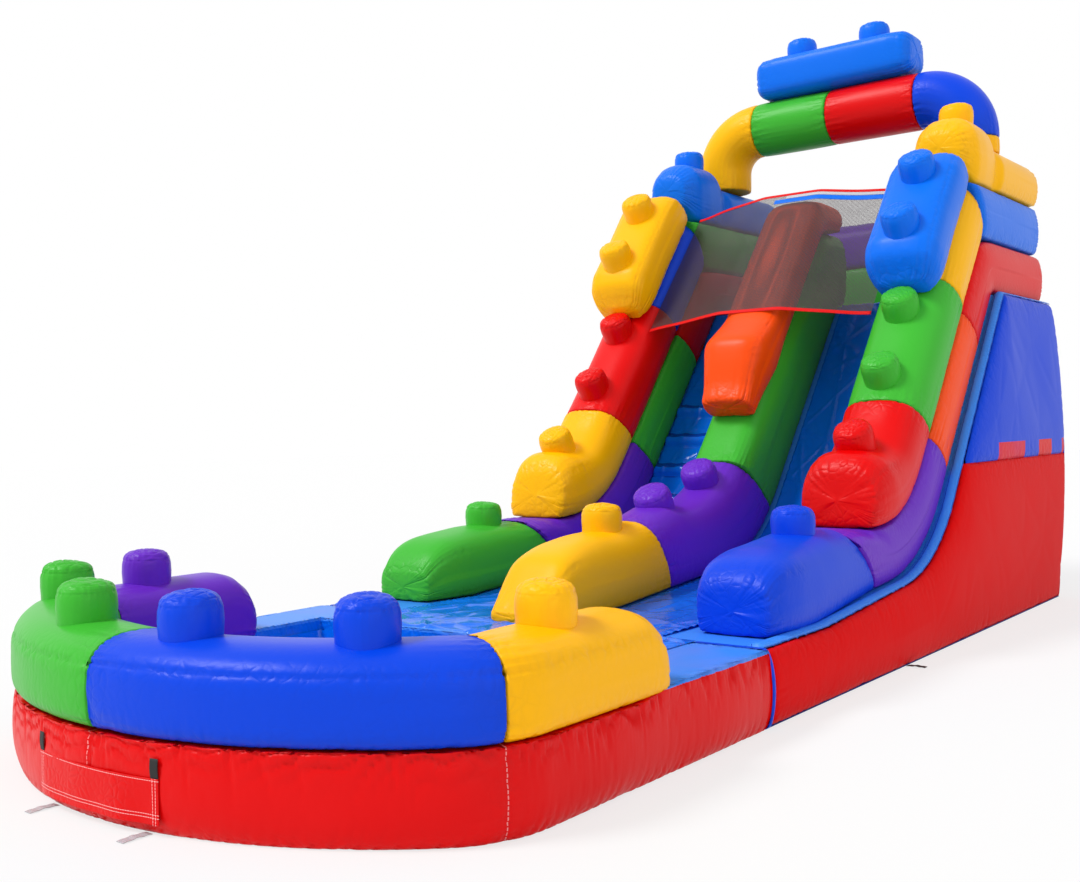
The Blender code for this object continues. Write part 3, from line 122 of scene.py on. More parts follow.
def bed_frame(y):
    """Foot of a section and its rise per metre. The rise leans with the seams and is lengthened by
    one over the cosine of its angle to the bed's normal, and turns upright where the slope meets
    the deck."""
    share = np.clip((y - LEAN_START) / 2.0, 0, 1)
    lean = SLOPE * share * share * (3 - 2 * share)
    stretch = np.cos(lean - bed_angle(np.minimum(y, LEAN_END)))
    turned = np.interp(y, [LEAN_END, DECK_EDGE, 6.81], [-sin(SLOPE), -tan(SLOPE / 2), 0])
    across = np.where(y <= LEAN_END, -np.sin(lean) / stretch, turned)
    raised = np.interp(y, [LEAN_END, DECK_EDGE], [cos(SLOPE), 1])
    up = np.where(y <= LEAN_END, np.cos(lean) / stretch, raised)
    foot = np.stack([0 * y, y, bed_height(y)], -1)
    return foot, np.stack([0 * y, across, up], -1)


def bed_square(y):
    """Direction square to the bed, from its angle."""
    angle = np.interp(y, [DECK_EDGE - 0.04, DECK_EDGE + 0.04], [0, 1])
    angle = bed_angle(np.minimum(y, DECK_EDGE)) * (1 - angle)
    return np.stack([0 * y, -np.sin(angle), np.cos(angle)], -1)


print("bend from", round(TOE_START, 3), "to", round(TOE_END, 3))

# %% [markdown]
# ## Puckers
# Where two panels of vinyl are sewn together and blown up, the stitched line is shorter than the
# skin beside it, so small pillows and valleys run away from it and fade out. A sum of a few waves
# with fixed random directions gives them: near zero of the sum lies a valley, and between the
# valleys the skin swells. Each wave leans a little, so that no two valleys run quite parallel.

# %% Waves and valleys
def waves(u, v, seed, low, high, lean=6.0, count=7):
    """Sum of sines of u times a frequency plus v times a small lean plus a phase, over the root of
    half the count."""
    pick = np.random.default_rng(seed)
    total = np.zeros(np.broadcast(u, v).shape)
    for _ in range(count):
        total = total + np.sin(2 * pi * pick.uniform(low, high) * u + pick.uniform(-lean, lean) * v
                               + pick.uniform(0, 2 * pi))
    return total / sqrt(count / 2)


def valleys(u, v, seed, low, high, lean=6.0):
    """One in the bottom of a valley and near zero between: one less the size of the waves, to the
    power 2.6."""
    size = np.minimum(np.abs(waves(u, v, seed, low, high, lean)), 1)
    return (1 - size) ** 2.6


def crumple(x, y, seed, low, high):
    """Folds in every direction: the largest of three valley patterns turned by 60 degrees each."""
    best = np.zeros(np.broadcast(x, y).shape)
    for turn in range(3):
        angle = pi * turn / 3 + 0.3
        along = x * cos(angle) + y * sin(angle)
        other = y * cos(angle) - x * sin(angle)
        best = np.maximum(best, valleys(along, other, seed + turn, low, high, 5 * low))
    return best


print("deepest valley", round(float(valleys(np.linspace(0, 1, 500), 0, 3, 4, 9).max()), 3))

# %% [markdown]
# ## From grids to meshes
# Every skin here is a grid of points, or several. One helper turns grids into one mesh, with a map
# in metres for patterns that follow the surface, and a value called pinch that is high at seams.

# %% Mesh from grids
def grid_faces(rows, columns, around):
    """Corner numbers of the quads of a grid whose points count row by row."""
    last = columns if around else columns - 1
    low = np.arange(rows - 1)[:, None] * columns
    one = low + np.arange(last)[None, :]
    two = low + (np.arange(last)[None, :] + 1) % columns
    return np.stack([one, two, two + columns, one + columns], -1).reshape(-1, 4)


def steps(points, axis):
    """Running length along an axis of a grid, from the first row or column."""
    size = np.linalg.norm(np.diff(points, axis=axis), axis=-1)
    pad = [(0, 0), (0, 0)]
    pad[axis] = (1, 0)
    return np.pad(np.cumsum(size, axis=axis), pad)


def grid_normals(points, around):
    """Unit cross product of the two ways along a grid."""
    along = np.gradient(points, axis=0)
    if around:
        across = np.roll(points, -1, 1) - np.roll(points, 1, 1)
    else:
        across = np.gradient(points, axis=1)
    out = np.cross(across, along)
    return out / np.maximum(np.linalg.norm(out, axis=-1, keepdims=True), 1e-9)


def skin(name, patches, material, nodes, body="slide"):
    """One object from patches. A patch is a grid, whether it runs around, its pinch, and its two
    poles."""
    corners, faces, maps, pinches = [], [], [], []
    start = 0
    for points, around, pinch, poles in patches:
        rows, columns = points.shape[:2]
        quads = grid_faces(rows, columns, around)
        pieces = np.linalg.norm(np.diff(points[rows // 2], axis=0), axis=-1)
        u = np.arange(columns + 1) * pieces.mean()
        v = np.concatenate([[0],
                            np.cumsum(np.linalg.norm(np.diff(points, axis=0), axis=-1).mean(1))])
        last = columns if around else columns - 1
        i, j = np.meshgrid(np.arange(rows - 1), np.arange(last), indexing="ij")
        spread = np.stack([np.stack([u[j], v[i]], -1), np.stack([u[j + 1], v[i]], -1),
                           np.stack([u[j + 1], v[i + 1]], -1), np.stack([u[j], v[i + 1]], -1)], 2)
        corners.append(points.reshape(-1, 3))
        pinches.append(np.broadcast_to(pinch, points.shape[:2]).reshape(-1))
        faces += (quads + start).tolist()
        maps.append(spread.reshape(-1, 2))
        for row, flip in ((0, True), (rows - 1, False)):
            if not poles[0 if flip else 1]:
                continue
            ring = start + row * columns + np.arange(columns)
            pole = sum(len(block) for block in corners)
            corners.append(points[row].mean(0)[None])
            pinches.append(pinches[-1][-1:])
            after = np.roll(ring, -1)
            fan = np.stack([after, ring, ring * 0 + pole] if flip
                           else [ring, after, ring * 0 + pole], -1)
            faces += fan.tolist()
            maps.append(np.tile([[0.0, 0.0]], (3 * columns, 1)))
        start = sum(len(block) for block in corners)
    corners = np.concatenate(corners) - [0, MIDDLE_Y, 0]
    mesh = bpy.data.meshes.new(name)
    mesh.from_pydata(corners.tolist(), [], faces)
    mesh.uv_layers.new(name="skin").data.foreach_set("uv", np.concatenate(maps).ravel().astype("f"))
    mesh.attributes.new("pinch", "FLOAT", "POINT").data.foreach_set(
        "value", np.concatenate(pinches).astype("f"))
    mesh.polygons.foreach_set("use_smooth", [True] * len(mesh.polygons))
    mesh.update()
    piece = bpy.data.objects.new(name, mesh)
    bpy.context.scene.collection.objects.link(piece)
    piece.data.materials.append(material)
    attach(piece, body)
    if nodes:
        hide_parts(*nodes)
    patches[0][3] == (True, True)
    return piece


print("helpers ready")

# %% [markdown]
# ## Vinyl
# The cloth is woven polyester between two coats of vinyl. It has a soft gloss, faint unevenness
# from one panel to the next, fine crinkles close to the seams, and a little grime and painted shade
# in them. One node group works out the crinkles, and each colour places it with its own strength.

# %% Node helpers and the crinkle group
def plug(tree, value, place):
    """Links a value to a socket, or sets the socket to a plain number, colour or point."""
    if isinstance(value, Value):
        value = value.socket
    if isinstance(value, bpy.types.NodeSocket):
        tree.links.new(value, place)
    else:
        place.default_value = value


class Value:
    """A number that nodes work out. Each sum, product or comparison with it adds a maths node."""

    def __init__(self, tree, socket):
        self.tree, self.socket = tree, socket

    def act(self, operation, *others):
        """The result of a maths node whose first input is this value."""
        made = self.tree.nodes.new("ShaderNodeMath")
        made.operation = operation
        for place, value in zip(made.inputs, (self, *others)):
            plug(self.tree, value, place)
        return Value(self.tree, made.outputs[0])

    def __add__(self, other):
        return self.act("ADD", other)

    def __sub__(self, other):
        return self.act("SUBTRACT", other)

    def __mul__(self, other):
        return self.act("MULTIPLY", other)

    def __gt__(self, other):
        return self.act("GREATER_THAN", other)

    def __lt__(self, other):
        return self.act("LESS_THAN", other)

    def __abs__(self):
        return self.act("ABSOLUTE")


def node(tree, kind, **values):
    """A node with its settings: names of sockets set their values, the others set properties."""
    made = tree.nodes.new(kind)
    for key, value in values.items():
        name = key.replace("_", " ")
        if name in made.inputs:
            plug(tree, value, made.inputs[name])
        else:
            setattr(made, key, value)
    return made


def axes(tree, place):
    """The three numbers of a point."""
    return [Value(tree, way) for way in node(tree, "ShaderNodeSeparateXYZ", Vector=place).outputs]


def new_group(name, entries, exits):
    """A shader node group with named inputs and outputs."""
    group = bpy.data.node_groups.new(name, "ShaderNodeTree")
    for label, kind, value in entries:
        socket = group.interface.new_socket(label, in_out="INPUT", socket_type=kind)
        if value is not None:
            socket.default_value = value
    for label, kind in exits:
        group.interface.new_socket(label, in_out="OUTPUT", socket_type=kind)
    return group, group.nodes.new("NodeGroupInput"), group.nodes.new("NodeGroupOutput")


SWAY = 0.12
CRINKLE, start, end = new_group(
    "crinkled vinyl",
    [("Place", "NodeSocketVector", None), ("Pinch", "NodeSocketFloat", 0.0),
     ("Size", "NodeSocketFloat", 16.0)],
    [("Height", "NodeSocketFloat"), ("Grime_and_shade", "NodeSocketFloat"), ("Patch", "NodeSocketFloat")])
sway = node(CRINKLE, "ShaderNodeTexNoise", Vector=start.outputs["Place"], Scale=5.0, Detail=2.0)
bent = node(CRINKLE, "ShaderNodeVectorMath", operation="MULTIPLY_ADD")
for socket, value in zip(bent.inputs,
                         (sway.outputs["Color"], (SWAY, SWAY, SWAY), start.outputs["Place"])):
    plug(CRINKLE, value, socket)
cells = node(CRINKLE, "ShaderNodeTexVoronoi", feature="DISTANCE_TO_EDGE", Vector=bent.outputs[0],
             Scale=start.outputs["Size"])
edge = Value(CRINKLE, cells.outputs["Distance"]).act("SMOOTH_MIN", 0.25, 0.2)
fine = node(CRINKLE, "ShaderNodeTexNoise", Vector=start.outputs["Place"], Scale=45.0, Detail=3.0)
patch = node(CRINKLE, "ShaderNodeTexNoise", Vector=start.outputs["Place"], Scale=1.1, Detail=3.0)
near = edge * start.outputs["Pinch"] * 2.0
# Grime and painted shade: darker where the crinkle cells meet, close to the seams.
dark = edge.act("MULTIPLY_ADD", -4.0, 1.0).act("MAXIMUM", 0.0)
for label, value in (("Height", near + Value(CRINKLE, fine.outputs["Fac"]) * 0.10),
                     ("Grime_and_shade", dark * start.outputs["Pinch"]), ("Patch", patch.outputs["Fac"])):
    plug(CRINKLE, value, end.inputs[label])
print("group", CRINKLE.name)


# %% Colours and the vinyl material
def linear(colour):
    """A screen colour out of 255 as linear shares: each share plus 0.055, over 1.055, to the power
    2.4, or over 12.92 where it is small."""
    share = np.array(colour) / 255
    share = np.where(share <= 0.04045, share / 12.92, ((share + 0.055) / 1.055) ** 2.4)
    return (*share.tolist(), 1)


COLOURS = {
    "red": (222, 0, 2), "green": (62, 178, 50), "yellow": (255, 186, 0), "blue": (0, 66, 216),
    "bright_blue": (0, 110, 234), "pale_blue": (60, 140, 244), "dark_blue": (8, 44, 140),
    "purple": (104, 40, 192), "orange": (250, 78, 8), "black": (16, 16, 18),
    "white": (228, 228, 234)}


def between(value, low, high):
    """One where value lies between low and high, and zero elsewhere."""
    return (value > low) * (value < high)


def blend_colour(tree, share, first, second):
    """Mixes two colours or links by a share."""
    made = tree.nodes.new("ShaderNodeMix")
    made.data_type = "RGBA"
    for place, value in ((made.inputs[0], share), (made.inputs[6], first),
                         (made.inputs[7], second)):
        plug(tree, value, place)
    return made.outputs[2]


def new_material(name):
    """An empty material with its Principled shader, object place and skin map."""
    made = bpy.data.materials.new(name)
    made.use_nodes = True
    tree = made.node_tree
    shader = tree.nodes["Principled BSDF"]
    place = node(tree, "ShaderNodeTexCoord").outputs["Object"]
    chart = node(tree, "ShaderNodeUVMap", uv_map="skin").outputs["UV"]
    return made, tree, shader, place, chart


# Colour of the grime and painted shade in the crinkles by the seams.
SOOT_AND_SHADE = (0.03, 0.025, 0.03, 1)


def vinyl(name, colour, roughness=0.36, size=16.0, depth=0.007, paint=None, shine=0.15):
    """Coated vinyl in one colour, or in the colour that paint works out from the place."""
    made, tree, shader, place, _ = new_material(name)
    pinch = node(tree, "ShaderNodeAttribute", attribute_name="pinch").outputs["Fac"]
    crinkle = node(tree, "ShaderNodeGroup", node_tree=CRINKLE, Place=place, Pinch=pinch,
                   Size=size).outputs
    plain = linear(COLOURS[colour])
    light = tuple(min(1.0, 0.012 + 1.10 * value) for value in plain[:3]) + (1,)
    patch = Value(tree, crinkle["Patch"])
    worn = ((patch - 0.45) * 0.6).act("MAXIMUM", 0.0).act("MINIMUM", 0.25)
    shade = blend_colour(tree, worn, paint(tree, place, plain) if paint else plain, light)
    bump = node(tree, "ShaderNodeBump", Strength=0.7, Distance=depth, Height=crinkle["Height"])
    # The base colour takes a little grime and painted shade near the seams.
    for label, value in (("Base Color",
                          blend_colour(tree, Value(tree, crinkle["Grime_and_shade"]) * 0.07, shade, SOOT_AND_SHADE)),
                         ("Roughness", patch.act("MULTIPLY_ADD", 0.14, roughness - 0.07)),
                         ("Normal", bump.outputs[0]), ("Specular IOR Level", shine)):
        plug(tree, value, shader.inputs[label])
    return made


VINYL = {colour: vinyl(f"vinyl_{colour}", colour) for colour in COLOURS}
print("vinyl in", ", ".join(VINYL))

# %% [markdown]
# ## Chambers
# A chamber is a section carried along a path. Its section is a rounded square: the cosine and
# sine of an angle raised to a power below one. Each end is sewn shut by a panel that swells like a
# cushion. Puckers run from the end seams along the chamber, and from the foot seam upwards.

# %% Sections and chambers
AROUND = int(112 * FINE)
SEWN = 0.86
END_GRIP = 0.006


def quarter(square):
    """Across and up for a quarter of a section: cosine and sine to the power 2 over square. Where
    square is zero the quarter ends at a seam: a bulging side up to it, then a flat part."""
    angle = pi / 2 * (np.arange(AROUND // 4) + 0.5) / (AROUND // 4)
    if square:
        return np.cos(angle) ** (2 / square), np.sin(angle) ** (2 / square)
    share = angle / (pi / 2) / 0.82
    side = np.clip(share, 0, 1)
    across = SEWN + (1 - SEWN) * (1 - side ** 2.4)
    return np.where(share <= 1, across, SEWN * (1 - (share - 1) / 0.22)), side


def section(half_width, low, high, square, low_square=0, waist=0.5):
    """Across and up for each ring. The upper part is rounded by square, the lower by low_square,
    and zero for either means a seam there. waist is the share of the height where it is widest."""
    half_width, low, high = np.broadcast_arrays(*np.atleast_1d(half_width, low, high))
    wide, tall = quarter(square)
    base_wide, base_tall = quarter(low_square)
    across = np.concatenate([wide, -wide[::-1], -base_wide, base_wide[::-1]])
    up = np.concatenate([tall, tall[::-1], -base_tall, -base_tall[::-1]])
    middle = (low + (high - low) * waist)[:, None]
    rise = np.where(up > 0, middle + (high[:, None] - middle) * up,
                    middle + (middle - low[:, None]) * up)
    return half_width[:, None] * across, rise


def soften(points, axis, wide, around=False):
    """Running average along an axis with a bell of the given width in steps. Open ends stay in
    place."""
    reach = int(3 * wide) + 1
    bell = np.exp(-0.5 * (np.arange(-reach, reach + 1) / wide) ** 2)
    bell = bell / bell.sum()
    points = np.moveaxis(points, axis, 0)
    if around:
        padded = np.concatenate([points[-reach:], points, points[:reach]])
    else:
        padded = np.concatenate([2 * points[:1] - points[reach:0:-1], points,
                                 2 * points[-1:] - points[-2:-reach - 2:-1]])
    out = sum(weight * padded[k:k + len(points)] for k, weight in enumerate(bell))
    return np.moveaxis(out, 0, axis)


def panel_rows(ring, way, bulge, count=9):
    """Rings that close an end: each shrinks to its share, and swells by bulge times one less the
    share's cube, to the power 0.62."""
    middle = ring.mean(0)
    share = 1 - np.arange(1, count) / count
    share = share[:, None, None]
    return middle + (ring - middle) * share + way * bulge * (1 - share ** 3) ** 0.62


def chamber_patch(rows, seed, bulges=(0.0, 0.0), foot=None, top=None, depth=0.013, creases=()):
    """A closed skin through rings. foot and top are each point's distance from a sewn line below or
    above. creases are lines (share around, depth, start, end) along which the skin is pinched."""
    rows = soften(rows, 1, 1.6, True)
    count = len(rows)
    start_way = rows[0].mean(0) - rows[1].mean(0)
    end_way = rows[-1].mean(0) - rows[-2].mean(0)
    start_way, end_way = (way / np.linalg.norm(way) for way in (start_way, end_way))
    head = panel_rows(rows[0], start_way, bulges[0])[::-1]
    tail = panel_rows(rows[-1], end_way, bulges[1])
    grid = np.concatenate([head, rows, tail])
    normal = grid_normals(grid, True)
    middle = grid.mean(1, keepdims=True)
    if ((grid - middle) * normal)[len(head):len(head) + count].sum() < 0:
        normal = -normal
        grid = grid[:, ::-1]
        normal = normal[:, ::-1]
        foot = foot if foot is None else foot[:, ::-1]
        top = top if top is None else top[:, ::-1]
        creases = [(1 - line[0], *line[1:]) for line in creases]
    run = steps(grid, 0)
    first = np.abs(run - run[len(head)])
    last = np.abs(run - run[len(head) + count - 1])
    round_share = np.arange(grid.shape[1])[None, :] / grid.shape[1]
    girth = np.linalg.norm(np.diff(rows[count // 2], axis=0), axis=-1).sum()
    u = round_share * girth
    low = max(round(5 * girth), 1) / girth
    shift = 0 * u
    pinch = 0 * first
    inside = np.ones((len(grid), 1))
    inside[:len(head), 0] = np.linspace(0, 1, len(head)) ** 2
    inside[len(head) + count:, 0] = np.linspace(1, 0, len(tail)) ** 2
    for place, distance in enumerate((first, last)):
        reach = 0.10 + 0.06 * waves(u, 0, seed + 11 + place, 0.5, 2.5)
        fade = np.exp(-distance / np.clip(reach, 0.04, 0.2)) * (1 - 0.4 * np.exp(-distance / 0.008))
        pattern = valleys(u, distance, seed + place, low, 2.6 * low)
        seam_line = 1 - np.abs(2 * round_share - 1) ** 40
        shift = shift - depth * fade * pattern * seam_line * inside
        shift = shift - END_GRIP * np.exp(-distance / 0.010)
        pinch = np.maximum(pinch, np.exp(-distance / 0.11))
    for gap in (foot, top):
        if gap is None:
            continue
        gap = np.concatenate([np.repeat(gap[:1], len(head), 0), gap,
                              np.repeat(gap[-1:], len(tail), 0)])
        fade = np.exp(-gap / 0.07)
        shift = shift - 0.55 * depth * fade * valleys(run, gap, seed + 5, 7, 15)
        pinch = np.maximum(pinch, 0.8 * np.exp(-gap / 0.08))
    for share, deep, begin, finish in creases:
        away = np.abs((round_share - share + 0.5) % 1 - 0.5) * girth
        span = np.clip((run - begin) / 0.06, 0, 1) * np.clip((finish - run) / 0.12, 0, 1)
        shift = shift - span * (deep * np.exp(-away / 0.014)
                                + 0.5 * depth * np.exp(-away / 0.05)
                                * valleys(run, away, seed + 9, 13, 26))
        pinch = np.maximum(pinch, 0.7 * span * np.exp(-away / 0.07))
    swells = waves(u, run, seed + 20, 0.4 / girth, 2.0 / girth, 3.0, 5)
    shift = shift + 0.0035 * swells * (1 - pinch)
    out = grid + normal * shift[..., None]
    return out, True, np.clip(pinch, 0, 1), (True, True)


def stud_patch(foot, up, height, seed):
    """A round stud: a profile turned about its axis. Its wall swells, its cap is sewn on and
    crumpled."""
    profile = np.array([(1.0, -0.70), (1.0, -0.05), (0.985, 0.0), (1.01, 0.07), (1.03, 0.22),
                        (1.035, 0.42), (1.02, 0.60), (0.995, 0.70), (0.98, STUD_RIM), (0.975, 0.79),
                        (0.935, 0.865), (0.855, 0.935), (0.72, 0.995), (0.54, 1.04),
                        (0.33, 1.07), (0.15, 1.08)])
    at = np.concatenate([[0], np.cumsum(np.linalg.norm(np.diff(profile, axis=0), axis=1))])
    fine = np.sort(np.concatenate([np.linspace(0, at[6], 6)[:-1],
                                   np.linspace(at[6], at[-1], int(56 * FINE))]))
    share, rise = np.interp(fine, at, profile[:, 0]), np.interp(fine, at, profile[:, 1])
    columns = int(88 * FINE)
    angle = 2 * pi * np.arange(columns) / columns
    up = np.array(up) / np.linalg.norm(up)
    side = np.cross(up, (0.0, 1.0, 0.0)) if abs(up[1]) < 0.9 else np.cross(up, (1.0, 0.0, 0.0))
    side = side / np.linalg.norm(side)
    other = np.cross(up, side)
    ring = np.cos(angle)[:, None] * side + np.sin(angle)[:, None] * other
    grid = (np.array(foot) + STUD_RADIUS * share[:, None, None] * ring[None]
            + up * (height * rise)[:, None, None])
    normal = grid_normals(grid, True)
    if ((grid - grid.mean(1, keepdims=True)) * normal).sum() < 0:
        normal = -normal
        grid, normal = grid[:, ::-1], normal[:, ::-1]
    turn = np.arange(columns)[None, :] / columns
    rim = np.abs(rise - STUD_RIM)[:, None] * height
    low = np.abs(rise)[:, None] * height
    cap = np.clip((rise[:, None] - STUD_RIM) / 0.1, 0, 1)
    flat = grid @ np.stack([side, other], 1)
    shift = -0.007 * valleys(turn, rim, seed, 10, 22, 30) * np.exp(-rim / 0.030)
    shift = shift - 0.002 * np.exp(-rim / 0.006)
    shift = shift - 0.004 * valleys(turn, low, seed + 1, 8, 16, 20) * np.exp(-low / 0.035)
    shift = shift - 0.006 * cap * crumple(flat[..., 0], flat[..., 1], seed + 2, 5, 12)
    shift = shift + 0.003 * np.sin(2 * pi * turn + seed)
    pinch = np.maximum(0.6 * np.exp(-rim / 0.03), 0.25 * cap) + 0.4 * np.exp(-low / 0.02)
    return grid + normal * shift[..., None], True, np.clip(pinch + 0 * turn, 0, 1), (False, True)


print("ring points", AROUND)

# %% [markdown]
# ## The pool's tubes
# The pool is a horseshoe closed by a cross tube: straight sides, rounded corners and a nose on a
# large circle. Its outline gives a point and a way inwards. A red base tube follows it right
# round, and four coloured tubes lie on the base, each with its studs.

# %% The pool's outline
NOSE_RADIUS = 2.414
CORNER = 0.60
NOSE_MIDDLE = sqrt(NOSE_RADIUS ** 2 - HALF_WIDTH ** 2)
CORNER_X = HALF_WIDTH - CORNER
CORNER_PLACE = NOSE_MIDDLE - sqrt((NOSE_RADIUS - CORNER) ** 2 - CORNER_X ** 2)
CORNER_TURN = np.arcsin((NOSE_MIDDLE - CORNER_PLACE) / (NOSE_RADIUS - CORNER))


def outline(share):
    """Point of the right half outline and the way inwards, with share from 0 at the rear over 1 and
    2 at the corner's ends to 3 at the nose: a line, an arc, then an arc about the nose's centre."""
    turn = -CORNER_TURN * np.clip(share - 1, 0, 1)
    swing = -CORNER_TURN - (pi / 2 - CORNER_TURN) * np.clip(share - 2, 0, 1)
    along = 1 - np.clip(share, 0, 1)
    side = np.stack([HALF_WIDTH + 0 * share, CORNER_PLACE + (POOL_END - CORNER_PLACE) * along,
                     0 * share], -1)
    bend = np.stack([CORNER_X + CORNER * np.cos(turn), CORNER_PLACE + CORNER * np.sin(turn),
                     0 * share], -1)
    nose = np.stack([NOSE_RADIUS * np.cos(swing), NOSE_MIDDLE + NOSE_RADIUS * np.sin(swing),
                     0 * share], -1)
    ways = [np.stack([-1 + 0 * share, -along, 0 * share], -1),
            np.stack([-np.cos(turn), -np.sin(turn), 0 * share], -1),
            np.stack([-np.cos(swing), -np.sin(swing), 0 * share], -1)]
    pick = [(share <= 1)[:, None], (share <= 2)[:, None]]
    return np.select(pick, [side, bend], nose), np.select(pick, ways[:2], ways[2])


def side_inset(share, top=0.06):
    """How far a wall lies inside its outline: its inset at the foot or top, times one less the
    root of the sine of pi times the share of its height."""
    bulge = np.sqrt(np.maximum(np.sin(pi * np.clip(share, 0, 1)), 0))
    return (1 - bulge) * (0.05 + (top - 0.05) * share)


def mirrored(points):
    """The same points on the other side."""
    return points * np.array([-1.0, 1.0, 1.0])


print("corner at", round(float(CORNER_PLACE), 3))

# %% The red base
def even_shares(low, high, spacing):
    """Shares of the outline spaced evenly by length."""
    trial = np.linspace(low, high, 900)
    points, _ = outline(trial)
    run = np.concatenate([[0], np.cumsum(np.linalg.norm(np.diff(points, axis=0), axis=1))])
    count = max(int(run[-1] / spacing * FINE), 6)
    return np.interp(np.linspace(0, run[-1], count), run, trial)


share = even_shares(0, 3, 0.014)
point, way = outline(share)
across = np.linspace(-1, 1, int(190 * FINE))[1:-1]
rear_point = np.stack([across * HALF_WIDTH, POOL_END + 0 * across, 0 * across], -1)
rear_way = np.stack([-across, -1 + 0 * across, 0 * across], -1)
point = np.concatenate([point, mirrored(point[-2::-1]), rear_point])
way = np.concatenate([way, mirrored(way[-2::-1]), rear_way])
BASE_EDGE = 0.016
BASE_WIDE = 0.46
wall = 0.5 - 0.5 * np.cos(pi * np.linspace(0, 1, int(34 * FINE)))
top_in = np.linspace(BASE_EDGE, BASE_WIDE - BASE_EDGE, 14)[1:-1]
low_in = np.linspace(0.41, 0.05, 10)[1:-1]
side = side_inset(wall, BASE_EDGE)
inset = np.concatenate([side, top_in, BASE_WIDE - side[::-1], low_in])
lift = np.concatenate([wall * BASE, BASE + 0 * top_in, wall[::-1] * BASE, 0 * low_in])
grid = (point[:, None] + way[:, None] * inset[None, :, None]
        + np.array([0, 0, 1.0]) * lift[None, :, None])
low_side = 1 - 0.105 * np.clip((1.30 - point[:, 1:2]) / 0.35, 0, 1) * (inset < 0.23)[None, :]
grid[..., 2] = grid[..., 2] * low_side
grid = np.concatenate([grid, grid[:1]])
normal = grid_normals(grid, True)
outward = np.concatenate([-way, -way[:1]])[:, None] * np.where(inset < 0.23, 1, -1)[None, :, None]
if (normal * outward).sum() < 0:
    normal = -normal
    grid, normal, inset, lift = grid[:, ::-1], normal[:, ::-1], inset[::-1], lift[::-1]
run = steps(grid, 0)
up_gap = (BASE - lift)[None, :] + 0 * run
low_gap = lift[None, :] + 0 * run
wall_mask = ((inset < 0.07) | (inset > 0.39)).astype(float)[None, :]
shift = -0.023 * np.exp(-up_gap / 0.105) * valleys(run, up_gap, 41, 9, 20) * wall_mask
shift = shift - 0.012 * np.exp(-low_gap / 0.06) * valleys(run, low_gap, 42, 3, 8) * wall_mask
pinch = np.maximum(np.exp(-up_gap / 0.07), np.exp(-low_gap / 0.05)) * wall_mask
seams = [np.argmin(np.abs(share - 1.5)), len(share) - 1,
         2 * len(share) - 2 - np.argmin(np.abs(share - 1.5))]
for place, number in enumerate(seams):
    away = np.abs(run - run[number])
    fade = np.exp(-away / 0.09)
    shift = shift - wall_mask * (0.009 * np.exp(-away / 0.012)
                                 + 0.008 * fade * valleys(lift[None], away, 50 + place, 6, 14))
    pinch = np.maximum(pinch, wall_mask * np.exp(-away / 0.05))
shift = shift + 0.005 * waves(run, lift[None] * 2, 45, 0.3, 1.2, 4, 5) * wall_mask * (1 - pinch)
grid = grid + normal * shift[..., None] * np.array([1, 1, 0.3])
grid[..., 2] = np.maximum(grid[..., 2], 0.0)


INNER = 0.33


def pool_paint(tree, place, base):
    """Red outside, bright blue towards the pool, pale blue shoulders, and white stitches at three
    seams."""
    x, y, z = axes(tree, place)
    nose = node(tree, "ShaderNodeVectorMath", operation="DISTANCE")
    for socket, value in zip(nose.inputs, (place, (0, NOSE_MIDDLE - MIDDLE_Y, BASE / 2))):
        plug(tree, value, socket)
    inner = (abs(x) < HALF_WIDTH - INNER) * (y < POOL_END - INNER - MIDDLE_Y)
    inner = inner * (Value(tree, nose.outputs["Value"]) < NOSE_RADIUS - INNER)
    base = blend_colour(tree, inner, base, linear(COLOURS["bright_blue"]))
    turn = CORNER_TURN / 2
    corner = (abs(x) - CORNER_X) * sin(turn) + (y + (MIDDLE_Y - CORNER_PLACE)) * cos(turn)
    line = between(x, -0.0225, -0.0175) + between(corner, -0.0025, 0.0025)
    stitch = ((z * 45.0).act("FRACT") > 0.3) * 0.55
    base = blend_colour(tree, line * (y < 0.35 - MIDDLE_Y) * stitch, base, linear((250, 190, 190)))
    shoulder = (z > 0.425) * (y > 0.9 - MIDDLE_Y)
    return blend_colour(tree, shoulder, base, linear(COLOURS["pale_blue"]))


skin("base_round_the_pool", [(grid, True, pinch, (False, False))],
     vinyl("vinyl_pool_base", "red", paint=pool_paint), ["pool_base"])
print("base", grid.shape)

# %% The four coloured tubes and their studs
RING_LOW = BASE + GAP
RING_HIGH = RING_LOW + 0.372
RING_HANG = 0.050
RING_IN, RING_HALF, RING_END = 0.26, 0.268, 1.22


def ring_rows(shares, side, ends=None):
    """Sections of the upper tube inside the outline, with optional height and width shares."""
    at, way = outline(shares)
    tall, wide = ends if ends else (1 + 0 * shares, 1 + 0 * shares)
    bottom = RING_LOW - RING_HANG
    across, up = section(RING_HALF * wide, bottom + 0 * shares,
                         bottom + (RING_HIGH - bottom) * tall, 2.5, 6.0)
    unit = way / np.linalg.norm(way, axis=-1, keepdims=True)
    unit = np.where((shares <= 1)[:, None], np.array([-1.0, 0, 0]), unit)
    rows = ((at + unit * RING_IN)[:, None] - unit[:, None] * across[..., None]
            + np.array([0, 0, 1.0]) * up[..., None])
    return (rows if side > 0 else mirrored(rows)), up - RING_LOW + RING_HANG


def ring_stud(share, side, seed):
    """A stud that stands upright on the upper tube."""
    at, way = outline(np.array([share]))
    foot = at[0] + way[0] / np.linalg.norm(way[0][:2]) * RING_IN
    foot = np.array([side * foot[0], foot[1], RING_HIGH - 0.004])
    return stud_patch(foot, (0, 0, 1), 0.19, seed)


def share_of_side(y):
    """Share of the outline at y on its straight side."""
    return 1 - (y - CORNER_PLACE) / (POOL_END - CORNER_PLACE)


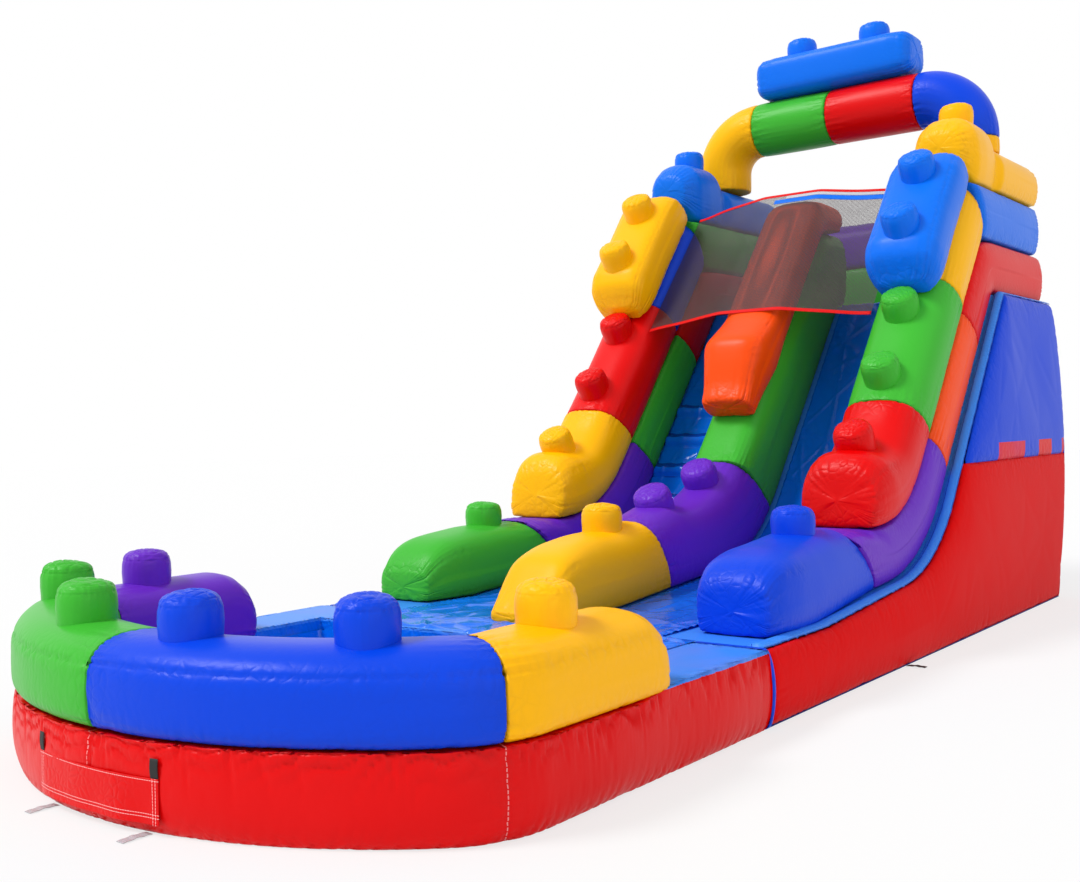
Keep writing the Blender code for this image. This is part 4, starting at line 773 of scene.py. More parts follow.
for side, side_name, nose_name, stud_y, places in ((1, "yellow", "blue", 0.59, (2.21, 2.765)),
                                                   (-1, "purple", "green", 0.63, (2.03, 2.69))):
    low = share_of_side(RING_END)
    shares = even_shares(low, 1.5, 0.014)
    y = outline(shares)[0][:, 1]
    drop = np.clip((RING_END - y) / 0.18, 0, 1)
    tall = np.interp(drop, [0, 0.3, 0.65, 1], [0.60, 0.84, 0.96, 1])
    wide = np.interp(drop, [0, 0.3, 0.65, 1], [0.88, 0.97, 1, 1])
    on_side = shares <= 1
    tall, wide = np.where(on_side, tall, 1), np.where(on_side, wide, 1)
    rows, foot = ring_rows(shares, side, (tall, wide))
    outer = (0.0606, 0.008, 0.0, 9.0)
    patch = chamber_patch(rows, 100 + side, (0.05, 0.0), foot, creases=[outer])
    skin(f"pool_tube_{side_name}", [patch, ring_stud(share_of_side(stud_y), side, 7 + side)],
         VINYL[side_name], [f"pool_ring_{side_name}"])
    rows, foot = ring_rows(even_shares(1.5, 3.0, 0.014), side)
    patch = chamber_patch(rows, 110 + side, (0.0, 0.0), foot, creases=[outer])
    studs = [ring_stud(place, side, 20 + side + k) for k, place in enumerate(places)]
    skin(f"pool_tube_{nose_name}", [patch, *studs], VINYL[nose_name], [f"pool_ring_{nose_name}"])
print("pool tubes done")

# %% [markdown]
# ## Loose vinyl sheets
# The pool's liner, its apron over the cross tube and the lanes are single sheets. They are slack,
# wet and glossy, and they lie in big soft folds, so their patches get folds in every direction.

# %% Glossy sheets
def wet(name, colour, paint=None):
    """Thin glossy sheet: vinyl with low roughness and larger crinkles."""
    made = vinyl(name, colour, 0.17, 9.0, 0.010, paint)
    made.node_tree.nodes["Principled BSDF"].inputs["Coat Weight"].default_value = 0.35
    made.node_tree.nodes["Principled BSDF"].inputs["Coat Roughness"].default_value = 0.08
    return made


SHEET_THICK = 0.003
WEB_THICK = 0.002


def thicken(piece, thickness):
    """Gives a sheet its thickness, inwards."""
    solid = piece.modifiers.new("sheet", "SOLIDIFY")
    solid.thickness = thickness
    solid.offset = -1
    return piece


def sheet_skin(name, grid, pinch, material, nodes, thickness=SHEET_THICK, body="slide"):
    """A thin sheet over one open grid."""
    piece = skin(name, [(grid, False, pinch, (False, False))], material, nodes, body)
    return thicken(piece, thickness)


def loop_at(inset):
    """The pool's outline at an inset, closed by the straight line of the cross tube."""
    share = even_shares(0, 3, 0.05)
    point, way = outline(share)
    half = point + way * inset
    across = np.linspace(-1, 1, int(72 * FINE))[1:-1]
    rear = np.stack([across * (HALF_WIDTH - inset), POOL_END - inset + 0 * across, 0 * across], -1)
    return np.concatenate([half, mirrored(half[-2::-1]), rear])


levels = np.concatenate([np.linspace(0, 1, int(16 * FINE))[:-1],
                         np.linspace(1, 2.96, int(70 * FINE))])
rows = []
wall_loop, floor_loop = loop_at(0.4603), loop_at(0.5103)
middle = np.array([0, 0.95, 0])
for level in levels:
    share = min(level, 1)
    if level <= 1:
        rows.append(wall_loop * (1 - share) + floor_loop * share
                    + np.array([0, 0, 0.365 - 0.355 * share]))
    else:
        rows.append(middle + (floor_loop - middle) * (1 - (level - 1) / 2)
                    + np.array([0, 0, 0.010]))
grid = np.array(rows)
fold = crumple(grid[..., 0], grid[..., 1] + 0.6 * grid[..., 2], 61, 1.0, 2.6)
fade = np.clip(levels * 2.5, 0, 1)[:, None]
grid[..., 2] = grid[..., 2] + 0.022 * fold * fade * (grid[..., 2] < 0.3)
pinch = np.clip(0.35 + 0.5 * fold, 0, 1)
if grid_normals(grid, True)[-5].mean(0)[2] < 0:
    grid, pinch = grid[:, ::-1], pinch[:, ::-1]
liner = skin("pool_liner_sheet", [(grid, True, pinch, (False, True))],
             wet("wet_liner", "bright_blue"), ["pool_liner"])
LAP_X, LAP_FRONT, LAP_REAR = 1.30, 1.785, 2.275
x, y = np.meshgrid(np.linspace(-LAP_X, LAP_X, int(220 * FINE)),
                   np.linspace(LAP_FRONT, LAP_REAR, int(52 * FINE)))
fold = crumple(x, y, 71, 1.1, 3.2)
edge = np.minimum(np.minimum(y - LAP_FRONT, LAP_REAR - y), LAP_X - np.abs(x))
calm = np.clip(edge / 0.05, 0, 1)
z = BASE + 0.0045 + 0.020 * fold * calm
z = z - 0.10 * np.clip((1.87 - y) / 0.085, 0, 1) ** 2
grid = np.stack([x, y, z], -1)
apron = skin("liner_lap_sheet", [(grid, False, np.clip(0.3 + 0.6 * fold, 0, 1), (False, False))],
             wet("wet_apron", "bright_blue"), ["liner_apron"])
print("sheets", len(liner.data.vertices), len(apron.data.vertices))

# %% [markdown]
# ## The body under the lanes
# The body's flanks are big slack panels: red below and blue above, with square teeth of red along
# the join. A pale band with two dark seams runs beside the walls. The panels swell, and puckers run
# in from each sewn edge.

# %% Flanks
FLANK_THICK = 0.004
JOIN_Z = 1.345
BAND_X = 1.62


def top_inset(y):
    """Inset of the body's top edge, which grows a little from the front to the rear."""
    return 0.06 * (1 + 0.35 * (y - FRONT) / (REAR - FRONT))


def rear_y(z, across):
    """Place of the rear: flat near the ground, then a sine swell that is fullest in the middle."""
    share = np.clip((z - 0.30) / (DECK - 0.30), 0, 1)
    return REAR + (0.11 + 0.10 * (1 - across ** 4)) * np.sin(pi * share ** 0.75)


PUCKER_DEEP, PUCKER_REACH = 0.008, 0.05


def edge_puckers(run_a, gap_a, run_b, gap_b, seed):
    """Shift and pinch near two pairs of sewn edges: valleys across each edge that fade with
    distance."""
    shift, pinch = 0, 0
    for place, (run, gap) in enumerate(((run_a, gap_a), (run_b, gap_b))):
        wander = PUCKER_REACH * (1 + 0.8 * waves(run, 0, seed + 30 + place, 0.4, 2.0))
        fade = np.exp(-gap / np.clip(wander, 0.02, 0.11))
        shift = shift - PUCKER_DEEP * fade * valleys(run, gap, seed + place, 5, 12)
        shift = shift - 0.010 * np.exp(-gap / 0.018)
        pinch = np.maximum(pinch, np.exp(-gap / 0.10))
    return shift, np.clip(pinch, 0, 1)


def flank(name, side, y, low, high, material, nodes, seed):
    """A side panel between two heights at each y, shifted square to itself by its puckers."""
    share = np.linspace(0, 1, int(46 * FINE))
    z = low[:, None] + (high - low)[:, None] * share
    full = bed_height(np.minimum(y, REAR))[:, None]
    x = HALF_WIDTH - side_inset(z / full, top_inset(np.minimum(y, REAR))[:, None])
    pull = np.clip((y[:, None] - (REAR - 0.5)) / 0.5, 0, 1)
    place = y[:, None] + (rear_y(z, 1) - REAR) * pull
    grid = np.stack([side * x, place, z], -1)
    normal = grid_normals(grid, False)
    if normal[..., 0].mean() * side < 0:
        grid, normal = grid[:, ::-1], -normal[:, ::-1]
    run, up = steps(grid, 0), steps(grid, 1)
    gap_low = np.abs(grid[..., 2] - low[:, None])
    gap_high = np.abs(high[:, None] - grid[..., 2]) * 0.8
    shift, pinch = edge_puckers(run, gap_high, run, gap_low, seed)
    ends = np.minimum(run, run[-1:] - run)
    shift = shift - 0.008 * np.exp(-ends / 0.08) * valleys(up, ends, seed + 7, 3, 8)
    shift = shift - 0.008 * np.exp(-ends / 0.02)
    mid = np.clip(np.minimum(np.minimum(gap_low, gap_high), ends) / 0.35, 0, 1)
    shift = shift + 0.012 * mid * (0.5 + 0.5 * waves(run, up, seed + 8, 0.15, 0.6, 2.0, 5))
    shift = shift - 0.003 * mid * crumple(run, up, seed + 9, 0.4, 1.0)
    grid = grid + normal * shift[..., None]
    grid[..., 2] = np.maximum(grid[..., 2], 0.002)
    return sheet_skin(name, grid, pinch, material, nodes, FLANK_THICK)


TOOTH = 0.145
TEETH = ((6.32, 7.03), (7.46, 7.86), (8.20, 8.60))


def teeth(tree, place, base):
    """Red teeth above the join, at three places along the flank, on blue."""
    _, y, z = axes(tree, place)
    low, *more = [between(y, start - MIDDLE_Y, end - MIDDLE_Y) for start, end in TEETH]
    for mask in more:
        low = low + mask
    return blend_colour(tree, low * (z < JOIN_Z + TOOTH), base, linear(COLOURS["red"]))


def rear_teeth(tree, place, base):
    """Red below the join with red teeth above it, on blue."""
    x, _, z = axes(tree, place)
    tooth = (x.act("MULTIPLY_ADD", 1.43, 0.25).act("FRACT") < 0.5) * TOOTH
    return blend_colour(tree, z < tooth + JOIN_Z, base, linear(COLOURS["red"]))


flank_blue = vinyl("vinyl_flank", "blue", size=11.0, paint=teeth, shine=0.08)
flank_red = vinyl("vinyl_flank_red", "red", 0.48, 11.0, shine=0.04)
tip = DECK_EDGE - (DECK - JOIN_Z - 0.04) / tan(SLOPE)
for side, word in ((1, "right"), (-1, "left")):
    y = np.linspace(FRONT, REAR, int(250 * FINE))
    flank(f"{word}_flank_low", side, y, SHEET_TOP + 0 * y, np.minimum(bed_height(y), JOIN_Z),
          flank_red, [f"{word}_lower_panel"], 200 + side)
    y = np.linspace(tip, REAR, int(110 * FINE))
    flank(f"{word}_flank_high", side, y, JOIN_Z + GAP + 0 * y, bed_height(y), flank_blue,
          [f"{word}_upper_panel"], 210 + side)
print("flanks done, join at", JOIN_Z)

# %% Rear, bed and ground sheet
z = np.linspace(SHEET_TOP, DECK - 0.005, int(110 * FINE))[:, None]
share = np.linspace(-1, 1, int(120 * FINE))[None, :]
half = HALF_WIDTH - side_inset(z / DECK, 0.12) - 0.006
swell = rear_y(z, share)
grid = np.stack([half * share, swell, z + 0 * share], -1)
run, up = steps(grid, 1), steps(grid, 0)
sides = np.minimum(run, run[:, -1:] - run)
shift, pinch = edge_puckers(run, up, run, up[-1:] - up, 230)
shift = shift - 0.012 * np.exp(-sides / 0.12) * valleys(up, sides, 237, 3, 7)
for place in (-0.5, 0.0, 0.5):
    away = np.abs(share * 1.75 - place * 1.75)
    shift = shift - 0.030 * np.exp(-away / 0.05)
    shift = shift - 0.010 * np.exp(-away / 0.14) * valleys(up, away, 240, 3, 8)
grid = grid + np.array([0, 1.0, 0]) * np.minimum(shift, 0)[..., None]
sheet_skin("rear_of_tower", grid[:, ::-1], pinch[:, ::-1],
           vinyl("vinyl_rear", "blue", size=11.0, paint=rear_teeth), ["rear_panel"], FLANK_THICK)


def band_paint(tree, place, base):
    """Pale blue with a thin dark seam along each edge of the band beside the walls."""
    x, y, _ = axes(tree, place)
    edge = (y + (MIDDLE_Y - FRONT)).act("MULTIPLY_ADD", -0.021 / (REAR - FRONT), HALF_WIDTH - 0.066)
    seam = abs(abs(x) - edge) < 0.005
    both = seam.act("MAXIMUM", between(abs(x), 1.645, 1.652)) * 0.85
    return blend_colour(tree, both, base, linear((20, 70, 190)))


y = np.concatenate([np.linspace(FRONT, 6.60, int(220 * FINE)), np.linspace(6.62, 6.95, 16),
                    np.linspace(7.0, REAR, 40)])
x_share = np.concatenate([np.linspace(-1, -0.86, int(16 * FINE)), np.linspace(-0.84, 0.84, 50),
                          np.linspace(0.86, 1, int(16 * FINE))])
half = (HALF_WIDTH - top_inset(y) - 0.0045)[:, None]
x = half * x_share
seat = np.stack([0 * y, y, bed_height(y)], -1)
grid = seat[:, None] + np.stack([x, 0 * x, 0 * x], -1)
run = steps(grid, 0)
gap = np.minimum(np.abs(np.abs(x) - BAND_X), half - np.abs(x))
lift = np.where(np.abs(x) > BAND_X,
                0.022 * np.sin(pi * np.clip((np.abs(x) - BAND_X) / (half - BAND_X), 0, 1)), -0.003)
lift = lift - 0.010 * np.exp(-gap / 0.05) * valleys(run, gap, 251, 8, 18) * (np.abs(x) > 1.61)
grid = grid + bed_square(y)[:, None] * lift[..., None]
depth = np.linspace(0, 1, 12)[:, None]
front = np.stack([x[0] + 0 * depth, FRONT + 0.0 * depth + 0 * x[0],
                  0.0045 + (BASE - 0.004) * depth + 0 * x[0]], -1)
grid = np.concatenate([front[:-1], grid])
pinch = np.concatenate([np.zeros((11, x.shape[1])), np.exp(-gap / 0.06)])
sheet_skin("bed_and_bands", grid, pinch,
           vinyl("vinyl_band", "pale_blue", size=26.0, paint=band_paint), ["bed_panel"])
GROUND_X, GROUND_FRONT, GROUND_REAR = 1.744, 2.281, 8.199
x, y = np.meshgrid(np.linspace(-GROUND_X, GROUND_X, 60), np.linspace(GROUND_FRONT, GROUND_REAR, 90))
edge = np.minimum(GROUND_X - np.abs(x), np.minimum(y - GROUND_FRONT, GROUND_REAR - y))
grid = np.stack([x, y, 0.0036 + 0 * x], -1)
sheet_skin("ground_sheet", grid, np.exp(-edge / 0.1), VINYL["dark_blue"], ["slide_ground_sheet"],
           0.0034)
print("body done")

# %% The band over the joint of pool and slide
rise = np.linspace(0, 1, int(40 * FINE))
outer = np.concatenate([[[1.302, BASE]],
                        np.stack([HALF_WIDTH - side_inset(rise[::-1]), rise[::-1] * BASE], -1),
                        [[1.0, 0.0]]])
path = np.concatenate([outer, outer[::-1] * [-1, 1]])
path = np.stack([path[:, 0], 0 * path[:, 0], path[:, 1]], -1)
wide = np.linspace(0, 1, 7)
swell = 0.006 * np.sin(pi * wide) - 0.001
away = path - np.array([0, 0, 0.22])
away = away / np.linalg.norm(away, axis=-1, keepdims=True)
grid = path[:, None] + away[:, None] * swell[None, :, None] * (path[:, 2] > 0.02)[:, None, None]
grid = grid + np.array([0, 1.0, 0]) * (POOL_END + 0.001 + 0.038 * wide)[None, :, None]
if grid_normals(grid, False)[5, 3, 0] < 0:
    grid = grid[:, ::-1]
sheet_skin("joint_strip", grid, 0.5, VINYL["blue"], ["join_band"])
print("joint strip", grid.shape)

# %% [markdown]
# ## The lanes
# One lane is a smooth glossy sheet, which is wet in use. The other has padded treads to climb by,
# at an even pitch. Both sheets are slack, so long folds run over them.

# %% Lane sheets
TREADS = 6
TREAD_START = 4.92
TREAD_PITCH = 0.34 * cos(SLOPE)
TREAD_DEPTH = 0.12 * cos(SLOPE)


def lane(name, side, height, seed, material, node_name):
    """A sheet on the bed: its height over the bed plus folds, which die out at its edges."""
    y = np.linspace(FRONT + 0.002, DECK_EDGE + 0.145, int(420 * FINE))
    x = np.linspace(LANE_IN, LANE_OUT, int(56 * FINE))[None, :]
    gap = np.minimum(x - LANE_IN, LANE_OUT - x)
    run = np.concatenate([[0], np.cumsum(np.hypot(np.diff(y), np.diff(bed_height(y))))])[:, None]
    fold = crumple(0.6 * run + 0 * x, x + 0 * run, seed, 0.9, 2.6)
    calm = np.clip(gap / 0.06, 0.15, 1) * np.clip((y[:, None] - FRONT) / 0.1, 0, 1)
    front = 1 + 0.8 * np.exp(-(((y[:, None] - 2.8) / 0.5) ** 2))
    lift = LANE_TOP + height(y)[:, None] * np.clip(gap / 0.03, 0, 1) ** 0.5
    lift = lift + 0.010 * fold * calm * front
    lift = lift + 0.012 * np.exp(-gap / 0.05) * (1 - valleys(run, gap, seed + 4, 4, 9))
    foot = np.stack([0 * y, y, bed_height(y)], -1)
    across = np.stack([side * x + 0 * run, 0 * x * run, 0 * x * run], -1)
    grid = foot[:, None] + across + bed_square(y)[:, None] * lift[..., None]
    if grid_normals(grid, False)[..., 2].mean() < 0:
        grid, fold = grid[:, ::-1], fold[:, ::-1]
    pinch = np.clip(0.25 + 0.6 * fold, 0, 1)
    return sheet_skin(name, grid, pinch, material, [node_name])


def tread_height(y):
    """Padded treads: a rounded bump over the first part of each pitch along the slope."""
    beat = (y - TREAD_START) / TREAD_PITCH
    share = (beat - np.floor(beat)) * TREAD_PITCH / TREAD_DEPTH
    on = (beat >= 0) & (beat < TREADS) & (share < 1)
    return np.where(on, 0.056 * np.sqrt(np.maximum(np.sin(pi * np.clip(share, 0, 1)), 0)), 0)


def tread_paint(tree, place, base):
    """Dark blue on the treads."""
    _, y, _ = axes(tree, place)
    beat = (y - (TREAD_START - MIDDLE_Y - 0.01)) * (1 / TREAD_PITCH)
    on = (beat.act("FRACT") < TREAD_DEPTH / TREAD_PITCH + 0.08) * between(beat, 0.0, TREADS)
    return blend_colour(tree, on, base, linear((8, 60, 170)))


lane("slide_lane", 1, lambda y: 0 * y, 300, wet("wet_slide_lane", "bright_blue"),
     "slide_lane_sheet")
lane("climbing_lane", -1, tread_height, 310, wet("wet_climbing_lane", "bright_blue", tread_paint),
     "climbing_lane_sheet")
print("treads", TREADS, "pitch", round(TREAD_PITCH, 3))

# %% [markdown]
# ## Walls like stacked bricks
# Each side wall has a lower row of tubes and an upper row of blocks, tubes and rails, with a block
# on top near the crest. Every one is a chamber on the bed's line, between two heights above it.

# %% Tubes on the bed
def table_at(share, table, column, count=160, wide=3):
    """A column of a table of shares, softened and read at the shares."""
    table = np.array(table)
    even = np.linspace(0, 1, count)
    values = soften(np.interp(even, table[:, 0], table[:, column])[:, None], 0, wide)
    return np.interp(share, even, values[:, 0])


def on_bed(start, end, low, high, half=WALL_HALF, x=WALL_X, side=1, square=2.3, table=None,
           rise=0.0, upright=0.0, drift=0.0, waist=0.32, tilt=4.0, crisp=None):
    """Sections on the bed between two heights. table gives length, height and width shares. Over
    the share upright, the front turns from a tilt off the plumb line to the lean of the seams.
    drift moves the front sideways. crisp is a second roundness and the shares where it ends."""
    trial = np.linspace(start + 0.0002, end - 0.0002, 400)
    run = np.concatenate([[0], np.cumsum(np.hypot(np.diff(trial), np.diff(bed_height(trial))))])
    if table is not None:
        lift = np.interp((trial - start) / (end - start), [row[0] for row in table],
                         [row[1] for row in table])
        run = np.concatenate([[0], np.cumsum(np.hypot(np.diff(run), 0.5 * np.diff(lift)))])
    count = max(int(run[-1] / 0.019 * FINE), 8)
    y = np.interp(np.linspace(0, run[-1], count), run, trial)
    share = (y - start) / (end - start)
    tall, wide = 1 + 0 * y, 1 + 0 * y
    if table is not None:
        tall, wide = (table_at(share, table, column, 300, 5) for column in (1, 2))
    foot, lean = bed_frame(y)
    stand = lean
    if upright:
        steep = np.array([0, -sin(radians(tilt)), cos(radians(tilt))])
        stand = np.where((share < upright)[:, None],
                         steep + (lean - steep) * (share / upright)[:, None], lean)
    crest = low + (high + rise * share - low) * tall
    across, up = section(half * wide, low + 0 * y, crest, square, 0, waist)
    if crisp:
        front_across, front_up = section(half * wide, low + 0 * y, crest, crisp[0], 0, waist)
        fade = np.clip((crisp[2] - share) / (crisp[2] - crisp[1]), 0, 1)[:, None]
        across, up = across + (front_across - across) * fade, up + (front_up - up) * fade
    middle = side * (x + drift * (1 - share))
    grid = foot[:, None] + (lean * low)[:, None] + stand[:, None] * (up - low)[..., None]
    grid[..., 0] = middle[:, None] + across
    return soften(grid, 0, 2.0), up - low, crest[:, None] - up


def bed_stud(y, height, seed, side=1, x=WALL_X, upright=False, size=STUD_HIGH):
    """A stud on top of a chamber, leaning a little to the front or upright."""
    foot, up = bed_frame(np.array([y]))
    place = foot[0] + up[0] * (height - 0.006) + np.array([side * x, 0, 0])
    return stud_patch(place, (0, 0, 1.0) if upright else STUD_WAY, size, seed)


FOOT_TABLES = {
    1: ((0, 0.62, 0.78), (0.03, 0.76, 0.84), (0.09, 0.87, 0.93), (0.20, 0.95, 1.00),
        (0.40, 1.0, 1.02), (0.66, 1, 1), (1, 0.95, 0.97)),
    -1: ((0, 0.50, 0.76), (0.04, 0.68, 0.84), (0.10, 0.84, 0.93), (0.18, 0.93, 0.99),
         (0.30, 0.98, 1.02), (0.50, 1, 1.02), (1, 0.95, 0.97))}
MIDDLE_TABLE = ((0, 0.96, 0.90), (0.05, 1.07, 0.95), (0.14, 1.19, 1.01), (0.30, 1.25, 1.07),
                (0.50, 1.16, 1.05), (0.70, 1.03, 1.01), (0.86, 0.98, 1), (1, 1, 1))
RAIL_END = REAR - 0.05
CORNER_CREASES = [(0.085, 0.005, 0.0, 0.75), (0.415, 0.005, 0.0, 0.75)]
FOOT_END, BRICK_START, BRICK_END, TUBE_END = 4.15, 4.62, 5.60, 6.40
SPANS = ((FOOT_END, BRICK_END), (BRICK_END, TUBE_END), (TUBE_END, REAR))
LOWER = {1: ("purple", "orange", "red"), -1: ("purple", "green", "red")}
LOW_BLOCK = {1: ("blue", 2.52, 3.59, 0.52), -1: ("green", 2.66, 3.775, 0.475)}
UPPER = {1: ("red", "green", "yellow", "bright_blue", "bright_blue", "yellow"),
         -1: ("yellow", "red", "blue", "green", "yellow", "bright_blue")}
for side, word in ((1, "right"), (-1, "left")):
    colour, front, stud_y, tall = LOW_BLOCK[side]
    rows, foot, _ = on_bed(front, FOOT_END, GAP, tall, 0.315, WALL_X, side, 2.7,
                           FOOT_TABLES[side], drift=0.07, crisp=(3.8, 0.05, 0.45))
    patch = chamber_patch(rows, 400 + side, (0.018, 0.0), foot, creases=CORNER_CREASES, depth=0.012)
    stud = bed_stud(stud_y, tall, 410 + side, side, WALL_X + 0.035, True)
    skin(f"{word}_foot_block", [patch, stud], VINYL[colour], [f"{word}_low_block"])
    for number, ((start, end), tone) in enumerate(zip(SPANS, LOWER[side])):
        bare = (2.7, 0.26, 0.36) if number == 0 else None
        rows, foot, top = on_bed(start, end, GAP, LAYER, WALL_HALF + 0.01, side=side, square=0,
                                 waist=0.5, crisp=bare)
        patch = chamber_patch(rows, 420 + 10 * number + side, (0, 0), foot, top)
        skin(f"{word}_under_tube_{tone}", [patch], VINYL[tone], [f"{word}_lower_tube_{tone}"])
    low, high = LAYER + GAP, 2 * LAYER
    rows, foot, _ = on_bed(BRICK_START, BRICK_END, low, high, side=side, square=2.7,
                           table=MIDDLE_TABLE, upright=0.8, tilt=-6.0)
    patch = chamber_patch(rows, 450 + side, (0.022, 0.0), foot, creases=CORNER_CREASES, depth=0.012)
    stud = bed_stud(5.27, high * 1.045, 455 + side, side, size=0.18)
    skin(f"{word}_brick", [patch, stud], VINYL[UPPER[side][0]], [f"{word}_middle_block"])
    rows, foot, _ = on_bed(BRICK_END, TUBE_END, low, high, side=side, square=2.5)
    patch = chamber_patch(rows, 460 + side, (0, 0), foot)
    studs = [bed_stud(BRICK_END + 0.80 * share, high, 465 + side + k, side)
             for k, share in enumerate((0.19, 0.71))]
    skin(f"{word}_studded_tube", [patch, *studs], VINYL[UPPER[side][1]], [f"{word}_upper_tube"])
    rows, foot, _ = on_bed(TUBE_END, DECK_EDGE, low, high, side=side, square=2.5)
    skin(f"{word}_strip", [chamber_patch(rows, 470 + side, (0, 0), foot)], VINYL[UPPER[side][2]],
         [f"{word}_upper_strip"])
    rows, foot, top = on_bed(DECK_EDGE, RAIL_END, low, high, side=side, square=0, waist=0.5)
    skin(f"{word}_rail", [chamber_patch(rows, 480 + side, (0, 0.02), foot, top)],
         VINYL[UPPER[side][3]], [f"{word}_middle_rail"])
print("walls done")

# %% Blocks and rails on top of the walls
def slope_frame(distance):
    """Foot and square direction on the slope, at a distance up it from the deck's edge."""
    y, z = DECK_EDGE + distance * cos(SLOPE), DECK + distance * sin(SLOPE)
    return np.stack([0 * y, y, z], -1), np.array([0, -sin(SLOPE), cos(SLOPE)])


TOP_TABLE = ((0, 0.50, 0.78), (0.06, 0.85, 0.95), (0.16, 1, 1), (0.5, 1, 0.97), (0.84, 1, 1),
             (0.96, 0.92, 0.95), (1, 0.76, 0.84))
HEAD_TABLE = ((0, 0.28, 0.72, 0.72), (0.18, 0, 1, 0.96), (0.45, 0, 1, 1), (0.82, 0, 1, 0.97),
              (1, 0, 0.55, 0.86))
RAIL_LOW = DECK + 2 * LAYER + GAP
CROWN_START, CROWN_LONG = -0.80, 1.25
HEAD_START, HEAD_LONG, HEAD_RISE = 6.42, 0.64, 0.17
RAIL_TOP = DECK + 2 * LAYER + 0.42
EDGES = [(0.125, 0.004, -0.02, 9.0), (0.375, 0.004, -0.02, 9.0)]
TOPS = {1: ("bright_blue", "yellow"), -1: ("yellow", "bright_blue")}
for side, word in ((1, "right"), (-1, "left")):
    share = np.linspace(0, 1, int(64 * FINE))
    distance = CROWN_START + CROWN_LONG * share
    foot, up = slope_frame(distance)
    low = 2 * LAYER + GAP
    across, rise = section(0.30 * table_at(share, TOP_TABLE, 2), low + 0 * share,
                           low + 0.40 * table_at(share, TOP_TABLE, 1), 3.2, 0, 0.45)
    rows = foot[:, None] + up * rise[..., None]
    rows[..., 0] = side * WALL_X + across
    patch = chamber_patch(rows, 500 + side, (0.050, 0.03), rise - low, creases=EDGES, depth=0.014)
    studs = []
    for number, place in enumerate((0.27, 0.757)):
        base, _ = slope_frame(np.array([CROWN_START + CROWN_LONG * place]))
        base = base[0] + up * (low + 0.394) + np.array([side * WALL_X, 0, 0])
        studs.append(stud_patch(base, STUD_WAY, STUD_HIGH, 505 + number + side))
    skin(f"{word}_crown_block", [patch, *studs], VINYL[TOPS[side][0]], [f"{word}_top_block"])
    y = np.linspace(HEAD_START, RAIL_END, int(96 * FINE))
    head = np.clip((y - HEAD_START) / HEAD_LONG, 0, 1)
    past = y > HEAD_START + HEAD_LONG
    calm = np.clip((y - HEAD_START - HEAD_LONG) / 0.05, 0, 1)
    bottom = RAIL_LOW + (RAIL_TOP - RAIL_LOW) * table_at(head, HEAD_TABLE, 1) * (head < 1)
    crest = RAIL_TOP + np.where(past, 0.00935 * (1 - calm),
                                HEAD_RISE * (2 * table_at(head, HEAD_TABLE, 2) - 1))
    wide = np.where(past, WALL_HALF, 0.29 * table_at(head, HEAD_TABLE, 3))
    across, rise = section(wide, bottom, crest, 2.5, 0, 0.42)
    rows = np.stack([side * WALL_X + across, y[:, None] + 0 * across, rise], -1)
    rows = soften(rows, 0, 1.5)
    gap = np.where(past[:, None], rise - RAIL_LOW, 1.0)
    creases = [(0.14, 0.003, 0.0, 0.65), (0.36, 0.003, 0.0, 0.65)]
    patch = chamber_patch(rows, 520 + side, (0.045, 0.02), gap, creases=creases)
    stud = stud_patch((side * WALL_X, HEAD_START + 0.60 * HEAD_LONG, RAIL_TOP + 0.165), (0, 0, 1),
                      STUD_HIGH, 525 + side)
    skin(f"{word}_headed_rail", [patch, stud], VINYL[TOPS[side][1]], [f"{word}_top_rail"])
print("rail top", RAIL_TOP)

# %% The wall between the lanes, and its crest
DIVIDER_TABLE = ((0, 0.16, 0.70), (0.05, 0.30, 0.80), (0.12, 0.54, 0.92), (0.18, 0.76, 0.98),
                 (0.31, 0.89, 1), (0.48, 0.96, 1), (1, 1, 1))
CREST_TABLE = ((0, 0.78, 0.84), (0.06, 0.86, 0.85), (0.15, 1.18, 0.94), (0.245, 1.46, 1.08),
               (0.345, 1.22, 1.03), (0.44, 1, 0.98), (0.94, 1, 0.98), (1, 0.80, 0.90))
CREST_LOW, CREST_HIGH = 0.6803, 0.9803
DIVIDER_FOOT_END, DIVIDER_BEND_END = 3.75, 5.34
DIVIDER_HIGH, DIVIDER_RISE = 0.54, 0.14
seat = LANE_TOP + GAP
rows, foot, _ = on_bed(2.20, DIVIDER_FOOT_END, seat, DIVIDER_HIGH, DIVIDER_HALF, 0, 1, 2.7,
                       DIVIDER_TABLE, waist=0.40, crisp=(3.6, 0.1, 0.5))
patch = chamber_patch(rows, 600, (0.015, 0.0), foot, depth=0.012, creases=CORNER_CREASES)
skin("divider_foot_block", [patch, bed_stud(3.31, 0.535, 605, 1, 0, True)], VINYL["yellow"],
     ["divider_low_block"])
rows, foot, _ = on_bed(DIVIDER_FOOT_END, DIVIDER_BEND_END, seat, DIVIDER_HIGH, DIVIDER_HALF, 0, 1,
                       2.7, rise=DIVIDER_RISE, waist=0.40)
studs = [bed_stud(DIVIDER_FOOT_END + 1.59 * share,
                  DIVIDER_HIGH + DIVIDER_RISE * share, 610 + k, 1, 0)
         for k, share in enumerate((0.494, 0.880))]
skin("divider_curve", [chamber_patch(rows, 611, (0, 0), foot), *studs], VINYL["purple"],
     ["divider_bend"])
rows, foot, _ = on_bed(DIVIDER_BEND_END, 6.90, seat, DIVIDER_HIGH + DIVIDER_RISE, DIVIDER_HALF, 0,
                       1, 3.6, waist=0.5)
skin("divider_long_tube", [chamber_patch(rows, 620, (0, 0.04), foot)], VINYL["green"],
     ["divider_tube"])
